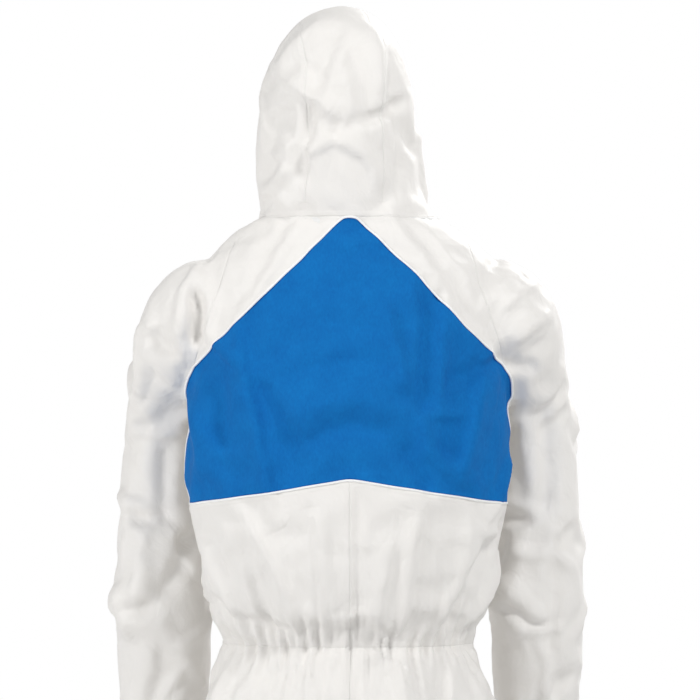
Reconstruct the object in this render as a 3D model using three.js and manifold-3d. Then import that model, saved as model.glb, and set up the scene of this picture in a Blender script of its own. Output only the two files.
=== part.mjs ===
// Hooded disposable coverall, worn shape with nobody inside.  Millimetres, +Z up.
// The wearer faces -Y and the wearer's left is +X.  Heights are written above the floor
// and the finished group is lowered so that the base of the neck is the origin.
import * as THREE from 'three';
import { mergeVertices } from 'three/addons/utils/BufferGeometryUtils.js';
import Module from 'manifold-3d';

const wasm = await Module();
wasm.setup();

// Driving dimensions
const ORIGIN_HEIGHT = 1480;      // base of the neck above the floor
const WALL = 1.6;                // cloth and its air gap, as one wall
const GAP = 0.3;                 // clearance between sewn neighbours
const NECK_HEIGHT = 1560;        // seam between hood and body
const HOOD_BEND_TOP = 1650;      // where the hood stops bending with the neck
const HOOD_TURN = 6;             // degrees, hood turned towards the wearer's left
const HOOD_CENTRE_PANEL = 92;    // width of the strip over the crown
const FACE_CENTRE = 1668;
const FACE_HALF_WIDTH = 64;
const FACE_HALF_HEIGHT = 82;
const FACE_HEM = 13;
const WAIST_HEIGHT = 1050;
const WAIST_ELASTIC_WIDTH = 12;
const SIDE_SEAM = 12;            // y of the side seams
const VENT_TOP_HALF = 8;         // blue panel: half width of its cut top
const VENT_CORNER = [188, 1380]; // blue panel: upper outer corner
const VENT_PEAK = 1249;          // blue panel: lower edge at the centre
const VENT_FOOT = 1219;          // blue panel: lower edge at the side
const CROTCH_HEIGHT = 800;
const HIP_SIDE_HEIGHT = 978;     // where the leg line meets the side of the body
const HIP_BEND = 161;            // height of the cloth that bends at the hip
const KNEE_HEIGHT = 500;
const KNEE_BEND = 102;           // half height of the cloth that bends at the knee
const HEM_HEIGHT = 60;
const HEM_WIDTH = 30;
const ELBOW_HEIGHT = 1130;
const ELBOW_BEND = 60;
const SLEEVE_END = 880;          // seam between sleeve and knitted cuff
const CUFF_LENGTH = 66;
const SHOULDER_LINE = 1060;      // the sleeve stops bending on the line z = x + this
const ZIP_BOTTOM = 868;
const ZIP_LENGTH = 660;
const ZIP_OPENING = 6;           // half width left open between the fronts
const FRONT_BOTTOM = -132;       // y of the front at the foot of the zip
const FRONT_RISE = 20;           // the front leans back by this over the zip
const TAPE_WIDTH = 15;
const COIL_WIDTH = 2.8;
const COIL_DEPTH = 2.5;
const COIL_INSET = 2.2;          // coil face behind the outside of the cloth
const SLIDER_LENGTH = 12;
const SLIDER_WALL = 1.2;
const PULL_LENGTH = 32;
const PULL_WIDTH = 7;
const FLAP_WIDTH = 50;
const FLAP_SEWN_EDGE = -24;
const FLAP_ARCH = 6;
const FLAP_THICKNESS = 1.2;
const FLAP_STANDOFF = 1.2;
const FLAP_BELOW = 34;           // flap end above the foot of the zip
const FLAP_ABOVE = 58;           // flap end below the head of the zip

const WHITE = new THREE.Color(0.87, 0.86, 0.83);
const BLUE = new THREE.Color(0.02, 0.16, 0.5);
const KNIT = new THREE.Color(0.82, 0.81, 0.78);
const ELASTIC = new THREE.Color(0.75, 0.75, 0.73);
const METAL = new THREE.Color(0.7, 0.7, 0.72);

const suit = new THREE.Group();
suit.position.z = -ORIGIN_HEIGHT;

function finish(color, roughness, metalness = 0) {
  return new THREE.MeshStandardMaterial({ color, roughness, metalness });
}

const cloth = () => finish(WHITE, 0.75);
const elastic = () => finish(ELASTIC, 0.85);

function addPiece(name, geometry, material, parent = suit) {
  const mesh = new THREE.Mesh(geometry, material);
  mesh.name = name;
  parent.add(mesh);
  return mesh;
}

// Booleans
function toSolid(geometry) {
  const bare = geometry.clone();
  bare.deleteAttribute('normal');
  bare.deleteAttribute('uv');
  const merged = mergeVertices(bare, 1e-3);
  return new wasm.Manifold(new wasm.Mesh({
    numProp: 3,
    vertProperties: new Float32Array(merged.attributes.position.array),
    triVerts: new Uint32Array(merged.index.array),
  }));
}

function toGeometry(manifold) {
  const mesh = manifold.getMesh();
  const geometry = new THREE.BufferGeometry();
  geometry.setAttribute('position', new THREE.BufferAttribute(mesh.vertProperties, 3));
  geometry.setIndex(new THREE.BufferAttribute(mesh.triVerts, 1));
  geometry.computeVertexNormals();
  return geometry;
}

// A closed form whose rings are placed one by one.  place(angle, along, reach) gives the
// point for an angle round the ring, a fraction of the height and 1 on the wall, 0 at its axis.
function formed(columns, rows, place) {
  const geometry = new THREE.CylinderGeometry(1, 1, 1, columns, rows);
  const position = geometry.attributes.position;
  for (let index = 0; index < position.count; index += 1) {
    const x = position.getX(index);
    const z = position.getZ(index);
    const reach = Math.min(1, Math.hypot(x, z));
    const point = place(Math.atan2(-z, x), position.getY(index) + 0.5, reach);
    position.setXYZ(index, point.x, point.y, point.z);
  }
  return geometry;
}

// Rows of numbers, joined by one smooth curve through them all
function smoothRows(table) {
  const width = table[0].length;
  const curves = [];
  for (let column = 0; column < width; column += 3) {
    const points = table.map((row) => new THREE.Vector3(
      row[column], row[column + 1] ?? 0, row[column + 2] ?? 0,
    ));
    curves.push(new THREE.CatmullRomCurve3(points, false, 'catmullrom', 0.5));
  }
  return (along) => curves.flatMap((curve) => curve.getPoint(along).toArray());
}

const frontAt = (height) => FRONT_BOTTOM + ((height - ZIP_BOTTOM) * FRONT_RISE) / ZIP_LENGTH;

// Body: height, half width, back.  The front follows the straight line of the zip.
const BODY = smoothRows([
  [CROTCH_HEIGHT, 112, 92],
  [CROTCH_HEIGHT + 32, 166, 126],
  [880, 189, 140],
  [980, 176, 135],
  [WAIST_HEIGHT, 153, 112],
  [1105, 172, 133],
  [1160, 180, 143],
  [1230, 189, 149],
  [1320, 190, 146],
  [1390, 186, 137],
  [1450, 186, 124],
  [1495, 182, 110],
  [1520, 164, 101],
  [1542, 135, 94],
  [NECK_HEIGHT, 104, 90],
  [NECK_HEIGHT + 20, 90, 88],
]);

const BODY_COLUMNS = 20;
const BODY_ROWS = 15;
const HOOD_COLUMNS = 16;
const HOOD_ROWS = 10;
const SLEEVE_COLUMNS = 10;
const SLEEVE_ROWS = 12;
const LEG_COLUMNS = 12;
const LEG_ROWS = 11;

const smoothStep = (value) => {
  const clamped = Math.min(1, Math.max(0, value));
  return clamped * clamped * (3 - 2 * clamped);
};

// A point of the body's wall, or between it and its axis, at one fraction of the height
function bodyPoint(along, angle, reach, inset) {
  const [height, halfWidth, back] = BODY(along);
  const closing = smoothStep((height - 1545) / 50);
  const rising = smoothStep((CROTCH_HEIGHT + 30 - height) / 30);
  const front = frontAt(height) * (1 - 0.16 * closing - 0.22 * rising);
  const middle = (front + back) / 2;
  const depth = (back - front) / 2 - inset;
  const y = middle + reach * depth * Math.sin(angle);
  const narrowing = 1 - 0.3 * smoothStep((55 - y) / 185);
  const wide = Math.sign(Math.cos(angle)) * Math.abs(Math.cos(angle)) ** 0.85;
  return new THREE.Vector3(reach * (halfWidth * narrowing - inset) * wide, y, height);
}

function bodySolid(inset) {
  return toSolid(formed(BODY_COLUMNS, BODY_ROWS, (angle, along, reach) => {
    const point = bodyPoint(along, angle, reach, inset);
    const lowered = inset * smoothStep((point.z - 1440) / 40);
    const raised = inset * (1 - smoothStep((point.z - CROTCH_HEIGHT) / 30));
    point.z += raised - lowered;
    return point;
  }));
}

// Fraction of the height at which the body's ring lies at a height above the floor
function bodyAlong(height) {
  let low = 0;
  let high = 1;
  for (let step = 0; step < 24; step += 1) {
    const middle = (low + high) / 2;
    if (BODY(middle)[0] < height) low = middle;
    else high = middle;
  }
  return low;
}

// Limb: centre x, y, height, then half width and half depth across its axis
function limbSolid(table, columns, rows, inset) {
  const at = smoothRows(table);
  return toSolid(formed(columns, rows, (angle, along, reach) => {
    const [x, y, height, halfWidth, halfDepth] = at(1 - along);
    const step = 0.01;
    const above = at(Math.max(0, 1 - along - step));
    const below = at(Math.min(1, 1 - along + step));
    const up = new THREE.Vector3(above[0] - below[0], above[1] - below[1], above[2] - below[2]);
    up.normalize();
    const across = new THREE.Vector3(0, 1, 0).cross(up).normalize();
    const forward = up.clone().cross(across);
    const point = new THREE.Vector3(x, y, height);
    point.addScaledVector(across, reach * (halfWidth - inset) * Math.cos(angle));
    point.addScaledVector(forward, reach * (halfDepth - inset) * Math.sin(angle));
    return point;
  }));
}

const SLEEVE = [
  [112, 0, 1456, 54, 64],
  [150, -3, 1446, 64, 74],
  [182, -8, 1428, 66, 74],
  [204, -23, 1362, 56, 65],
  [218, -44, 1275, 53, 60],
  [224, -53, ELBOW_HEIGHT + 60, 55, 60],
  [225, -58, ELBOW_HEIGHT, 57, 60],
  [225, -66, ELBOW_HEIGHT - 60, 56, 59],
  [226, -84, 975, 51, 54],
  [233, -98, SLEEVE_END + 25, 45, 48],
  [235, -102, SLEEVE_END, 36, 38],
  [237, -106, SLEEVE_END - CUFF_LENGTH / 2, 33, 36],
  [239, -110, SLEEVE_END - CUFF_LENGTH, 33, 36],
];

const LEG = [
  [90, 4, 930, 60, 90],
  [95, 3, 880, 88, 116],
  [101, 2, 800, 96, 122],
  [104, 0, 700, 93, 112],
  [107, -4, 600, 88, 101],
  [109, -6, KNEE_HEIGHT, 84, 93],
  [112, 2, 400, 81, 90],
  [115, 12, 280, 78, 87],
  [117, 17, 160, 76, 84],
  [118, 18, HEM_HEIGHT + 50, 70, 78],
  [118, 18, HEM_HEIGHT + HEM_WIDTH, 58, 66],
  [118, 18, HEM_HEIGHT, 57, 65],
];

// A limb and the hollow in it, which runs on past the open end.  The right one is the left mirrored.
const mirrored = (solid, side) => (side > 0 ? solid : solid.mirror([1, 0, 0]));

function limb(table, columns, rows, side) {
  const longer = table.map((row) => [...row]);
  longer[longer.length - 1][2] -= WALL * 8;
  const grown = table.map(([x, y, height, width, depth]) => [x, y, height, width + GAP, depth + GAP]);
  return {
    outer: mirrored(limbSolid(table, columns, rows, 0), side),
    inner: mirrored(limbSolid(longer, columns, rows, WALL), side),
    clear: mirrored(limbSolid(grown, columns, rows, 0), side),
  };
}

// Hood: height, shift to the left, half width, front, back
const HOOD = smoothRows([
  [NECK_HEIGHT - 10, 0, 102, -105, 90],
  [NECK_HEIGHT + 20, 6, 98, -96, 93],
  [1620, 13, 96, -94, 98],
  [1665, 15, 93, -98, 103],
  [1705, 15, 88, -101, 104],
  [1745, 14, 77, -98, 97],
  [1775, 12, 61, -84, 84],
  [1797, 11, 42, -60, 62],
  [1808, 10, 22, -34, 36],
  [1812, 10, 6, -10, 12],
]);

function hoodSolid(inset) {
  return toSolid(formed(HOOD_COLUMNS, HOOD_ROWS, (angle, along, reach) => {
    const [height, shift, halfWidth, front, back] = HOOD(along);
    const depth = Math.max(0.5, (back - front) / 2 - inset);
    const width = Math.max(0.5, halfWidth - inset);
    const x = reach * width * Math.cos(angle);
    const y = (front + back) / 2 + reach * depth * Math.sin(angle);
    const turn = THREE.MathUtils.degToRad(HOOD_TURN) * smoothStep((height - NECK_HEIGHT) / 90);
    const lowered = inset * smoothStep((height - 1720) / 60);
    return new THREE.Vector3(
      shift + x * Math.cos(turn) - y * Math.sin(turn),
      y * Math.cos(turn) + x * Math.sin(turn),
      height - lowered,
    );
  }));
}

// Pattern piece: an outline of [x, height] points, drawn in by half the gap and
// carried from one y to another
function pattern(points, yFrom, yTo, side = 1) {
  const outline = points.map(([x, height]) => new THREE.Vector2(x * side, height));
  if (THREE.ShapeUtils.isClockWise(outline)) outline.reverse();
  const inward = outline.map((corner, index) => {
    const before = outline[(index + outline.length - 1) % outline.length];
    const after = outline[(index + 1) % outline.length];
    const arriving = corner.clone().sub(before).normalize();
    const leaving = after.clone().sub(corner).normalize();
    const normalIn = new THREE.Vector2(-arriving.y, arriving.x);
    const normalOut = new THREE.Vector2(-leaving.y, leaving.x);
    const bisector = normalIn.clone().add(normalOut);
    return corner.clone().addScaledVector(bisector, GAP / (1 + normalIn.dot(normalOut)) / 2);
  });
  const depth = yTo - yFrom - GAP;
  const geometry = new THREE.ExtrudeGeometry(new THREE.Shape(inward), { depth, bevelEnabled: false });
  geometry.rotateX(Math.PI / 2);
  geometry.translate(0, yTo - GAP / 2, 0);
  return toSolid(geometry);
}

const WIDE = 260;
const BEHIND = 400;
const AHEAD = -400;
const AROUND = [AHEAD, BEHIND];
const FRONT_HALF = [AHEAD, SIDE_SEAM];
const BACK_HALF = [SIDE_SEAM, BEHIND];

function cutPiece(name, shell, points, [yFrom, yTo], side = 1, material = cloth()) {
  addPiece(name, toGeometry(shell.intersect(pattern(points, yFrom, yTo, side))), material);
}

// Body, sleeves and legs as shells that open into each other
const SIDES = [['left', 1], ['right', -1]];
const bodyOuter = bodySolid(0);
const bodyInner = bodySolid(WALL);
const bodyClear = bodySolid(-GAP);
const sleeves = {};
const legs = {};
let trunkOuter = bodyOuter;
let trunkInner = bodyInner;
for (const [name, side] of SIDES) {
  sleeves[name] = limb(SLEEVE, SLEEVE_COLUMNS, SLEEVE_ROWS, side);
  legs[name] = limb(LEG, LEG_COLUMNS, LEG_ROWS, side);
  trunkOuter = trunkOuter.add(legs[name].outer);
  trunkInner = trunkInner.add(legs[name].inner);
}
const neckOpening = pattern([
  [-WIDE, NECK_HEIGHT],
  [WIDE, NECK_HEIGHT],
  [WIDE, NECK_HEIGHT + 200],
  [-WIDE, NECK_HEIGHT + 200],
], ...AROUND);
let trunk = trunkOuter.subtract(trunkInner).subtract(neckOpening);
for (const [name] of SIDES) trunk = trunk.subtract(sleeves[name].clear);

// Back of the body
const ventSlope = (VENT_PEAK - VENT_FOOT) / VENT_CORNER[0];
const ventEdge = VENT_PEAK - WIDE * ventSlope;
cutPiece('back_vent_panel', trunk, [
  [-VENT_TOP_HALF, NECK_HEIGHT],
  [-VENT_CORNER[0], VENT_CORNER[1]],
  [-WIDE, VENT_CORNER[1]],
  [-WIDE, ventEdge],
  [0, VENT_PEAK],
  [WIDE, ventEdge],
  [WIDE, VENT_CORNER[1]],
  [VENT_CORNER[0], VENT_CORNER[1]],
  [VENT_TOP_HALF, NECK_HEIGHT],
], BACK_HALF, 1, finish(BLUE, 0.7));

const LEG_LINE_DROP = 6;
const legLine = (x) => CROTCH_HEIGHT - LEG_LINE_DROP + ((HIP_SIDE_HEIGHT - CROTCH_HEIGHT) * x) / WIDE;
const GUSSET = 30;
for (const [name, side] of SIDES) {
  cutPiece(`back_shoulder_${name}`, trunk, [
    [VENT_TOP_HALF, NECK_HEIGHT],
    [VENT_CORNER[0], VENT_CORNER[1]],
    [WIDE, VENT_CORNER[1]],
    [WIDE, NECK_HEIGHT],
  ], BACK_HALF, side);
  cutPiece(`back_waist_${name}`, trunk, [
    [0, VENT_PEAK],
    [WIDE, ventEdge],
    [WIDE, WAIST_HEIGHT],
    [0, WAIST_HEIGHT],
  ], BACK_HALF, side);
  cutPiece(`seat_${name}`, trunk, [
    [0, WAIST_HEIGHT],
    [WIDE, WAIST_HEIGHT],
    [WIDE, legLine(WIDE)],
    [GUSSET, legLine(GUSSET)],
    [GUSSET, legLine(GUSSET) + GUSSET],
    [0, legLine(GUSSET) + GUSSET],
  ], BACK_HALF, side);
  cutPiece(`front_chest_${name}`, trunk, [
    [ZIP_OPENING, NECK_HEIGHT],
    [WIDE, NECK_HEIGHT],
    [WIDE, WAIST_HEIGHT],
    [ZIP_OPENING, WAIST_HEIGHT],
  ], FRONT_HALF, side);
  cutPiece(`front_hips_${name}`, trunk, [
    [ZIP_OPENING, WAIST_HEIGHT],
    [WIDE, WAIST_HEIGHT],
    [WIDE, legLine(WIDE)],
    [GUSSET, legLine(GUSSET)],
    [GUSSET, legLine(GUSSET) + GUSSET],
    [0, legLine(GUSSET) + GUSSET],
    [0, ZIP_BOTTOM - 4],
    [ZIP_OPENING, ZIP_BOTTOM - 4],
  ], FRONT_HALF, side);
}
cutPiece('crotch_gusset', trunk, [
  [0, legLine(0)],
  [GUSSET, legLine(GUSSET)],
  [GUSSET, legLine(GUSSET) + GUSSET],
  [-GUSSET, legLine(GUSSET) + GUSSET],
  [-GUSSET, legLine(GUSSET)],
], AROUND);


// Sleeves: shoulder, upper sleeve, elbow, forearm and knitted cuff
const OUTSIDE = 420;
const slantedAt = (x) => x + SHOULDER_LINE;
for (const [name, side] of SIDES) {
  const sleeve = sleeves[name].outer.subtract(sleeves[name].inner).subtract(bodyClear);
  const elbowTop = ELBOW_HEIGHT + ELBOW_BEND;
  const elbowFoot = ELBOW_HEIGHT - ELBOW_BEND;
  cutPiece(`sleeve_shoulder_${name}`, sleeve, [
    [0, slantedAt(0)],
    [OUTSIDE, slantedAt(OUTSIDE)],
    [OUTSIDE, 1700],
    [0, 1700],
  ], AROUND, side);
  cutPiece(`sleeve_upper_${name}`, sleeve, [
    [elbowTop - SHOULDER_LINE, elbowTop],
    [OUTSIDE, elbowTop],
    [OUTSIDE, slantedAt(OUTSIDE)],
  ], AROUND, side);
  const band = (from, to) => [[0, from], [OUTSIDE, from], [OUTSIDE, to], [0, to]];
  cutPiece(`sleeve_elbow_${name}`, sleeve, band(elbowFoot, elbowTop), AROUND, side);
  cutPiece(`sleeve_forearm_${name}`, sleeve, band(SLEEVE_END, elbowFoot), AROUND, side);
  cutPiece(
    `knit_cuff_${name}`,
    sleeve,
    band(SLEEVE_END - CUFF_LENGTH - 20, SLEEVE_END),
    AROUND,
    side,
    finish(KNIT, 0.9),
  );

  // Legs: hip, thigh, knee, shin and elasticated hem
  const hipFoot = (x) => legLine(x) - HIP_BEND;
  const kneeTop = KNEE_HEIGHT + KNEE_BEND;
  const kneeFoot = KNEE_HEIGHT - KNEE_BEND;
  const hemTop = HEM_HEIGHT + HEM_WIDTH;
  cutPiece(`leg_hip_${name}`, trunk, [
    [0, hipFoot(0)],
    [WIDE, hipFoot(WIDE)],
    [WIDE, legLine(WIDE)],
    [0, legLine(0)],
  ], AROUND, side);
  const thigh = [[0, hipFoot(0)], [WIDE, hipFoot(WIDE)], [WIDE, kneeTop], [0, kneeTop]];
  cutPiece(`thigh_front_${name}`, trunk, thigh, FRONT_HALF, side);
  cutPiece(`thigh_back_${name}`, trunk, thigh, BACK_HALF, side);
  cutPiece(`leg_knee_${name}`, trunk, band(kneeFoot, kneeTop), AROUND, side);
  cutPiece(`shin_front_${name}`, trunk, band(hemTop, kneeFoot), FRONT_HALF, side);
  cutPiece(`shin_back_${name}`, trunk, band(hemTop, kneeFoot), BACK_HALF, side);
  cutPiece(`ankle_hem_${name}`, trunk, band(HEM_HEIGHT - 20, hemTop), AROUND, side);
}

// Hood: bending neck, centre strip over the crown, two sides and the hem round the face
const faceCut = (grow) => {
  const outline = new THREE.Shape();
  outline.absellipse(0, FACE_CENTRE, FACE_HALF_WIDTH + grow, FACE_HALF_HEIGHT + grow, 0, Math.PI * 2);
  const drilled = { depth: BEHIND, bevelEnabled: false, curveSegments: 6 };
  const geometry = new THREE.ExtrudeGeometry(outline, drilled);
  geometry.rotateX(Math.PI / 2);
  return turnedHood(toSolid(geometry));
};
const HOOD_SHIFT = 14;
const turnedHood = (solid) => solid.rotate([0, 0, HOOD_TURN]).translate([HOOD_SHIFT, 0, 0]);
const hood = hoodSolid(0).subtract(hoodSolid(WALL)).subtract(faceCut(0));
const hoodCloth = hood.subtract(faceCut(FACE_HEM + GAP));
const hoodPiece = (name, shell, points) => {
  const outline = turnedHood(pattern(points, ...AROUND));
  addPiece(name, toGeometry(shell.intersect(outline)), cloth());
};
const HOOD_TOP = 1850;
hoodPiece('hood_neck', hoodCloth, [
  [-WIDE, NECK_HEIGHT],
  [WIDE, NECK_HEIGHT],
  [WIDE, HOOD_BEND_TOP],
  [-WIDE, HOOD_BEND_TOP],
]);
const stripHalf = HOOD_CENTRE_PANEL / 2;
hoodPiece('hood_centre_panel', hoodCloth, [
  [-stripHalf, HOOD_BEND_TOP],
  [stripHalf, HOOD_BEND_TOP],
  [stripHalf, HOOD_TOP],
  [-stripHalf, HOOD_TOP],
]);
for (const [name, side] of SIDES) {
  hoodPiece(`hood_side_panel_${name}`, hoodCloth, [
    [side * stripHalf, HOOD_BEND_TOP],
    [side * WIDE, HOOD_BEND_TOP],
    [side * WIDE, HOOD_TOP],
    [side * stripHalf, HOOD_TOP],
  ]);
}
addPiece('hood_face_hem', toGeometry(hood.intersect(faceCut(FACE_HEM))), elastic());

const coilGap = GAP / 2;
const tapeInner = coilGap + COIL_WIDTH + GAP;

// Bands sewn inside, open at the zip: the waist elastic and the tape over the neck seam
function innerBand(name, [from, to], narrowest, clearance, thickness, material) {
  const middle = bodyAlong(narrowest);
  const ring = (inset) => toSolid(formed(BODY_COLUMNS, 1, (angle, along, reach) => {
    const point = bodyPoint(middle, angle, reach, inset);
    point.z = from + (to - from) * along;
    return point;
  }));
  const hollow = ring(clearance + thickness);
  const longer = hollow.scale([1, 1, 1.5]).translate([0, 0, -0.25 * (from + to)]);
  const halfGap = tapeInner + TAPE_WIDTH + 2 * GAP;
  const atZip = pattern([
    [-halfGap, from - WALL],
    [halfGap, from - WALL],
    [halfGap, to + WALL],
    [-halfGap, to + WALL],
  ], AHEAD, 0);
  addPiece(name, toGeometry(ring(clearance).subtract(longer).subtract(atZip)), material);
}
const waistHalf = WAIST_ELASTIC_WIDTH / 2;
const BAND_THICKNESS = 1.2;
innerBand(
  'waist_elastic',
  [WAIST_HEIGHT - waistHalf, WAIST_HEIGHT + waistHalf],
  WAIST_HEIGHT,
  WALL + 2.2,
  BAND_THICKNESS,
  elastic(),
);
innerBand(
  'neck_seam_tape',
  [NECK_HEIGHT - 12, NECK_HEIGHT - 2],
  NECK_HEIGHT,
  WALL + 4,
  BAND_THICKNESS,
  cloth(),
);

// Size label hanging inside the back of the neck
const LABEL = { width: 42, height: 50, thickness: 0.8, top: NECK_HEIGHT - 14 };
const labelBack = BODY(bodyAlong(LABEL.top))[2] - WALL - 8;
const label = addPiece(
  'size_label',
  new THREE.BoxGeometry(LABEL.width, LABEL.thickness, LABEL.height),
  finish(new THREE.Color(0.9, 0.9, 0.9), 0.5),
);
label.position.set(0, labelBack, LABEL.top - LABEL.height / 2);

// Zip: everything on it is placed in a group that leans with the front.  In the group x is
// across, y is 0 on the outside of the cloth and grows inwards, z is along the zip from its foot.
const zip = new THREE.Group();
zip.position.set(0, FRONT_BOTTOM, ZIP_BOTTOM);
zip.rotation.x = -Math.atan2(FRONT_RISE, ZIP_LENGTH);
suit.add(zip);

const STOP_LENGTH = 3;
const TAPE_INSET = WALL + 3.4;
const TAPE_THICKNESS = 0.8;

function zipBlock(name, size, centre, material) {
  const mesh = addPiece(name, new THREE.BoxGeometry(...size), material, zip);
  mesh.position.set(...centre);
}
for (const [name, side] of SIDES) {
  zipBlock(
    `zip_tape_${name}`,
    [TAPE_WIDTH, TAPE_THICKNESS, ZIP_LENGTH],
    [side * (tapeInner + TAPE_WIDTH / 2), TAPE_INSET + TAPE_THICKNESS / 2, ZIP_LENGTH / 2],
    cloth(),
  );
  zipBlock(
    `zip_coil_${name}`,
    [COIL_WIDTH, COIL_DEPTH, ZIP_LENGTH - 2 * (STOP_LENGTH + GAP)],
    [side * (coilGap + COIL_WIDTH / 2), COIL_INSET + COIL_DEPTH / 2, ZIP_LENGTH / 2],
    finish(WHITE, 0.4),
  );
}
const stopSize = [2 * (coilGap + COIL_WIDTH), COIL_DEPTH, STOP_LENGTH];
const stopDepth = COIL_INSET + COIL_DEPTH / 2;
zipBlock('zip_top_stop', stopSize, [0, stopDepth, ZIP_LENGTH - STOP_LENGTH / 2], finish(WHITE, 0.4));
zipBlock('zip_bottom_stop', stopSize, [0, stopDepth, STOP_LENGTH / 2], finish(METAL, 0.3, 0.9));

// Slider: a channel over the coil with two lugs, and a tab whose barrel turns between them
const sliderFace = COIL_INSET - GAP - SLIDER_WALL;
const BARREL_RADIUS = 1.1;
const LUG = { inner: 2, outer: 3.2, length: 4 };
const barrelDepth = sliderFace - BARREL_RADIUS - GAP;
const flange = tapeInner - GAP;

function outlineOf(points) {
  return new THREE.Shape(points.map(([x, y]) => new THREE.Vector2(x, y)));
}

function addSlider(name, height, material) {
  const half = flange + SLIDER_WALL;
  const foot = COIL_INSET + COIL_DEPTH;
  const tapeFace = TAPE_INSET - GAP;
  const channel = toSolid(new THREE.ExtrudeGeometry(outlineOf([
    [-half, sliderFace],
    [half, sliderFace],
    [half, tapeFace],
    [flange, tapeFace],
    [flange, sliderFace + SLIDER_WALL],
    [-flange, sliderFace + SLIDER_WALL],
    [-flange, tapeFace],
    [-half, tapeFace],
  ]), { depth: SLIDER_LENGTH, bevelEnabled: false }));
  let body = channel;
  for (const [, side] of SIDES) {
    const lugRise = sliderFace - barrelDepth + BARREL_RADIUS + 0.2;
    const lug = new THREE.BoxGeometry(LUG.outer - LUG.inner, lugRise, LUG.length);
    const lugDepth = (sliderFace + barrelDepth - BARREL_RADIUS) / 2;
    lug.translate(side * (LUG.inner + LUG.outer) / 2, lugDepth, SLIDER_LENGTH / 2);
    body = body.add(toSolid(lug));
  }
  const slider = addPiece(`zip_slider_${name}`, toGeometry(body), material, zip);
  slider.position.z = height;

  const barrel = new THREE.CylinderGeometry(BARREL_RADIUS, BARREL_RADIUS, 2 * (LUG.inner - GAP), 16);
  barrel.rotateZ(Math.PI / 2);
  const tabOutline = new THREE.Shape();
  const neck = LUG.inner - GAP;
  const shoulder = LUG.length / 2 + 3;
  tabOutline.moveTo(-neck, 0);
  tabOutline.lineTo(-neck, -LUG.length / 2 - 1);
  tabOutline.lineTo(-PULL_WIDTH / 2, -shoulder - 2);
  tabOutline.lineTo(-PULL_WIDTH / 2, -PULL_LENGTH + PULL_WIDTH / 2);
  tabOutline.absarc(0, -PULL_LENGTH + PULL_WIDTH / 2, PULL_WIDTH / 2, Math.PI, 0, false);
  tabOutline.lineTo(PULL_WIDTH / 2, -shoulder - 2);
  tabOutline.lineTo(neck, -LUG.length / 2 - 1);
  tabOutline.lineTo(neck, 0);
  const hole = new THREE.Path();
  hole.absarc(0, -PULL_LENGTH + PULL_WIDTH / 2, PULL_WIDTH / 4, 0, Math.PI * 2, true);
  tabOutline.holes.push(hole);
  const plate = new THREE.ExtrudeGeometry(tabOutline, { depth: 1, bevelEnabled: false, curveSegments: 8 });
  plate.rotateX(Math.PI / 2);
  plate.translate(0, 0.5, 0);
  const tab = toSolid(barrel).add(toSolid(plate));
  const pull = addPiece(`zip_pull_${name}`, toGeometry(tab), material, zip);
  pull.position.set(0, barrelDepth, height + SLIDER_LENGTH / 2);
}
const sliderMetal = () => finish(METAL, 0.35, 0.9);
addSlider('upper', ZIP_LENGTH - STOP_LENGTH - SLIDER_LENGTH - 1, sliderMetal());
addSlider('lower', STOP_LENGTH + 1, sliderMetal());

// Storm flap over the zip: sewn along one edge, arched over the sliders, closed by a strip
const flapFree = FLAP_SEWN_EDGE + FLAP_WIDTH;
const ARCH_HALF = 8;
const ARCH_FOOT = 15;
function flapCurve(offset) {
  const rise = (x) => FLAP_ARCH * (1 - smoothStep((Math.abs(x) - ARCH_HALF) / (ARCH_FOOT - ARCH_HALF)));
  const left = [FLAP_SEWN_EDGE, -ARCH_FOOT, -13, -11, -9, -ARCH_HALF];
  const right = [ARCH_HALF, 9, 11, 13, ARCH_FOOT, flapFree];
  return [...left, ...right].map((x) => [x, -FLAP_STANDOFF - offset - rise(x)]);
}
const flapLength = ZIP_LENGTH - FLAP_BELOW - FLAP_ABOVE;
const flapOutline = outlineOf([...flapCurve(0), ...flapCurve(FLAP_THICKNESS).reverse()]);
const flap = addPiece(
  'storm_flap',
  new THREE.ExtrudeGeometry(flapOutline, { depth: flapLength, bevelEnabled: false }),
  cloth(),
  zip,
);
flap.position.z = FLAP_BELOW;
const STRIP = { width: 8, thickness: 0.6, margin: 1 };
zipBlock(
  'flap_adhesive_strip',
  [STRIP.width, STRIP.thickness, flapLength],
  [
    flapFree - STRIP.margin - STRIP.width / 2,
    GAP - FLAP_STANDOFF + STRIP.thickness / 2,
    FLAP_BELOW + flapLength / 2,
  ],
  finish(WHITE, 0.3),
);

export default suit;
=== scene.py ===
import math

import bmesh
import bpy
import numpy as np
from mathutils import Matrix, Vector, noise


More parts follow.
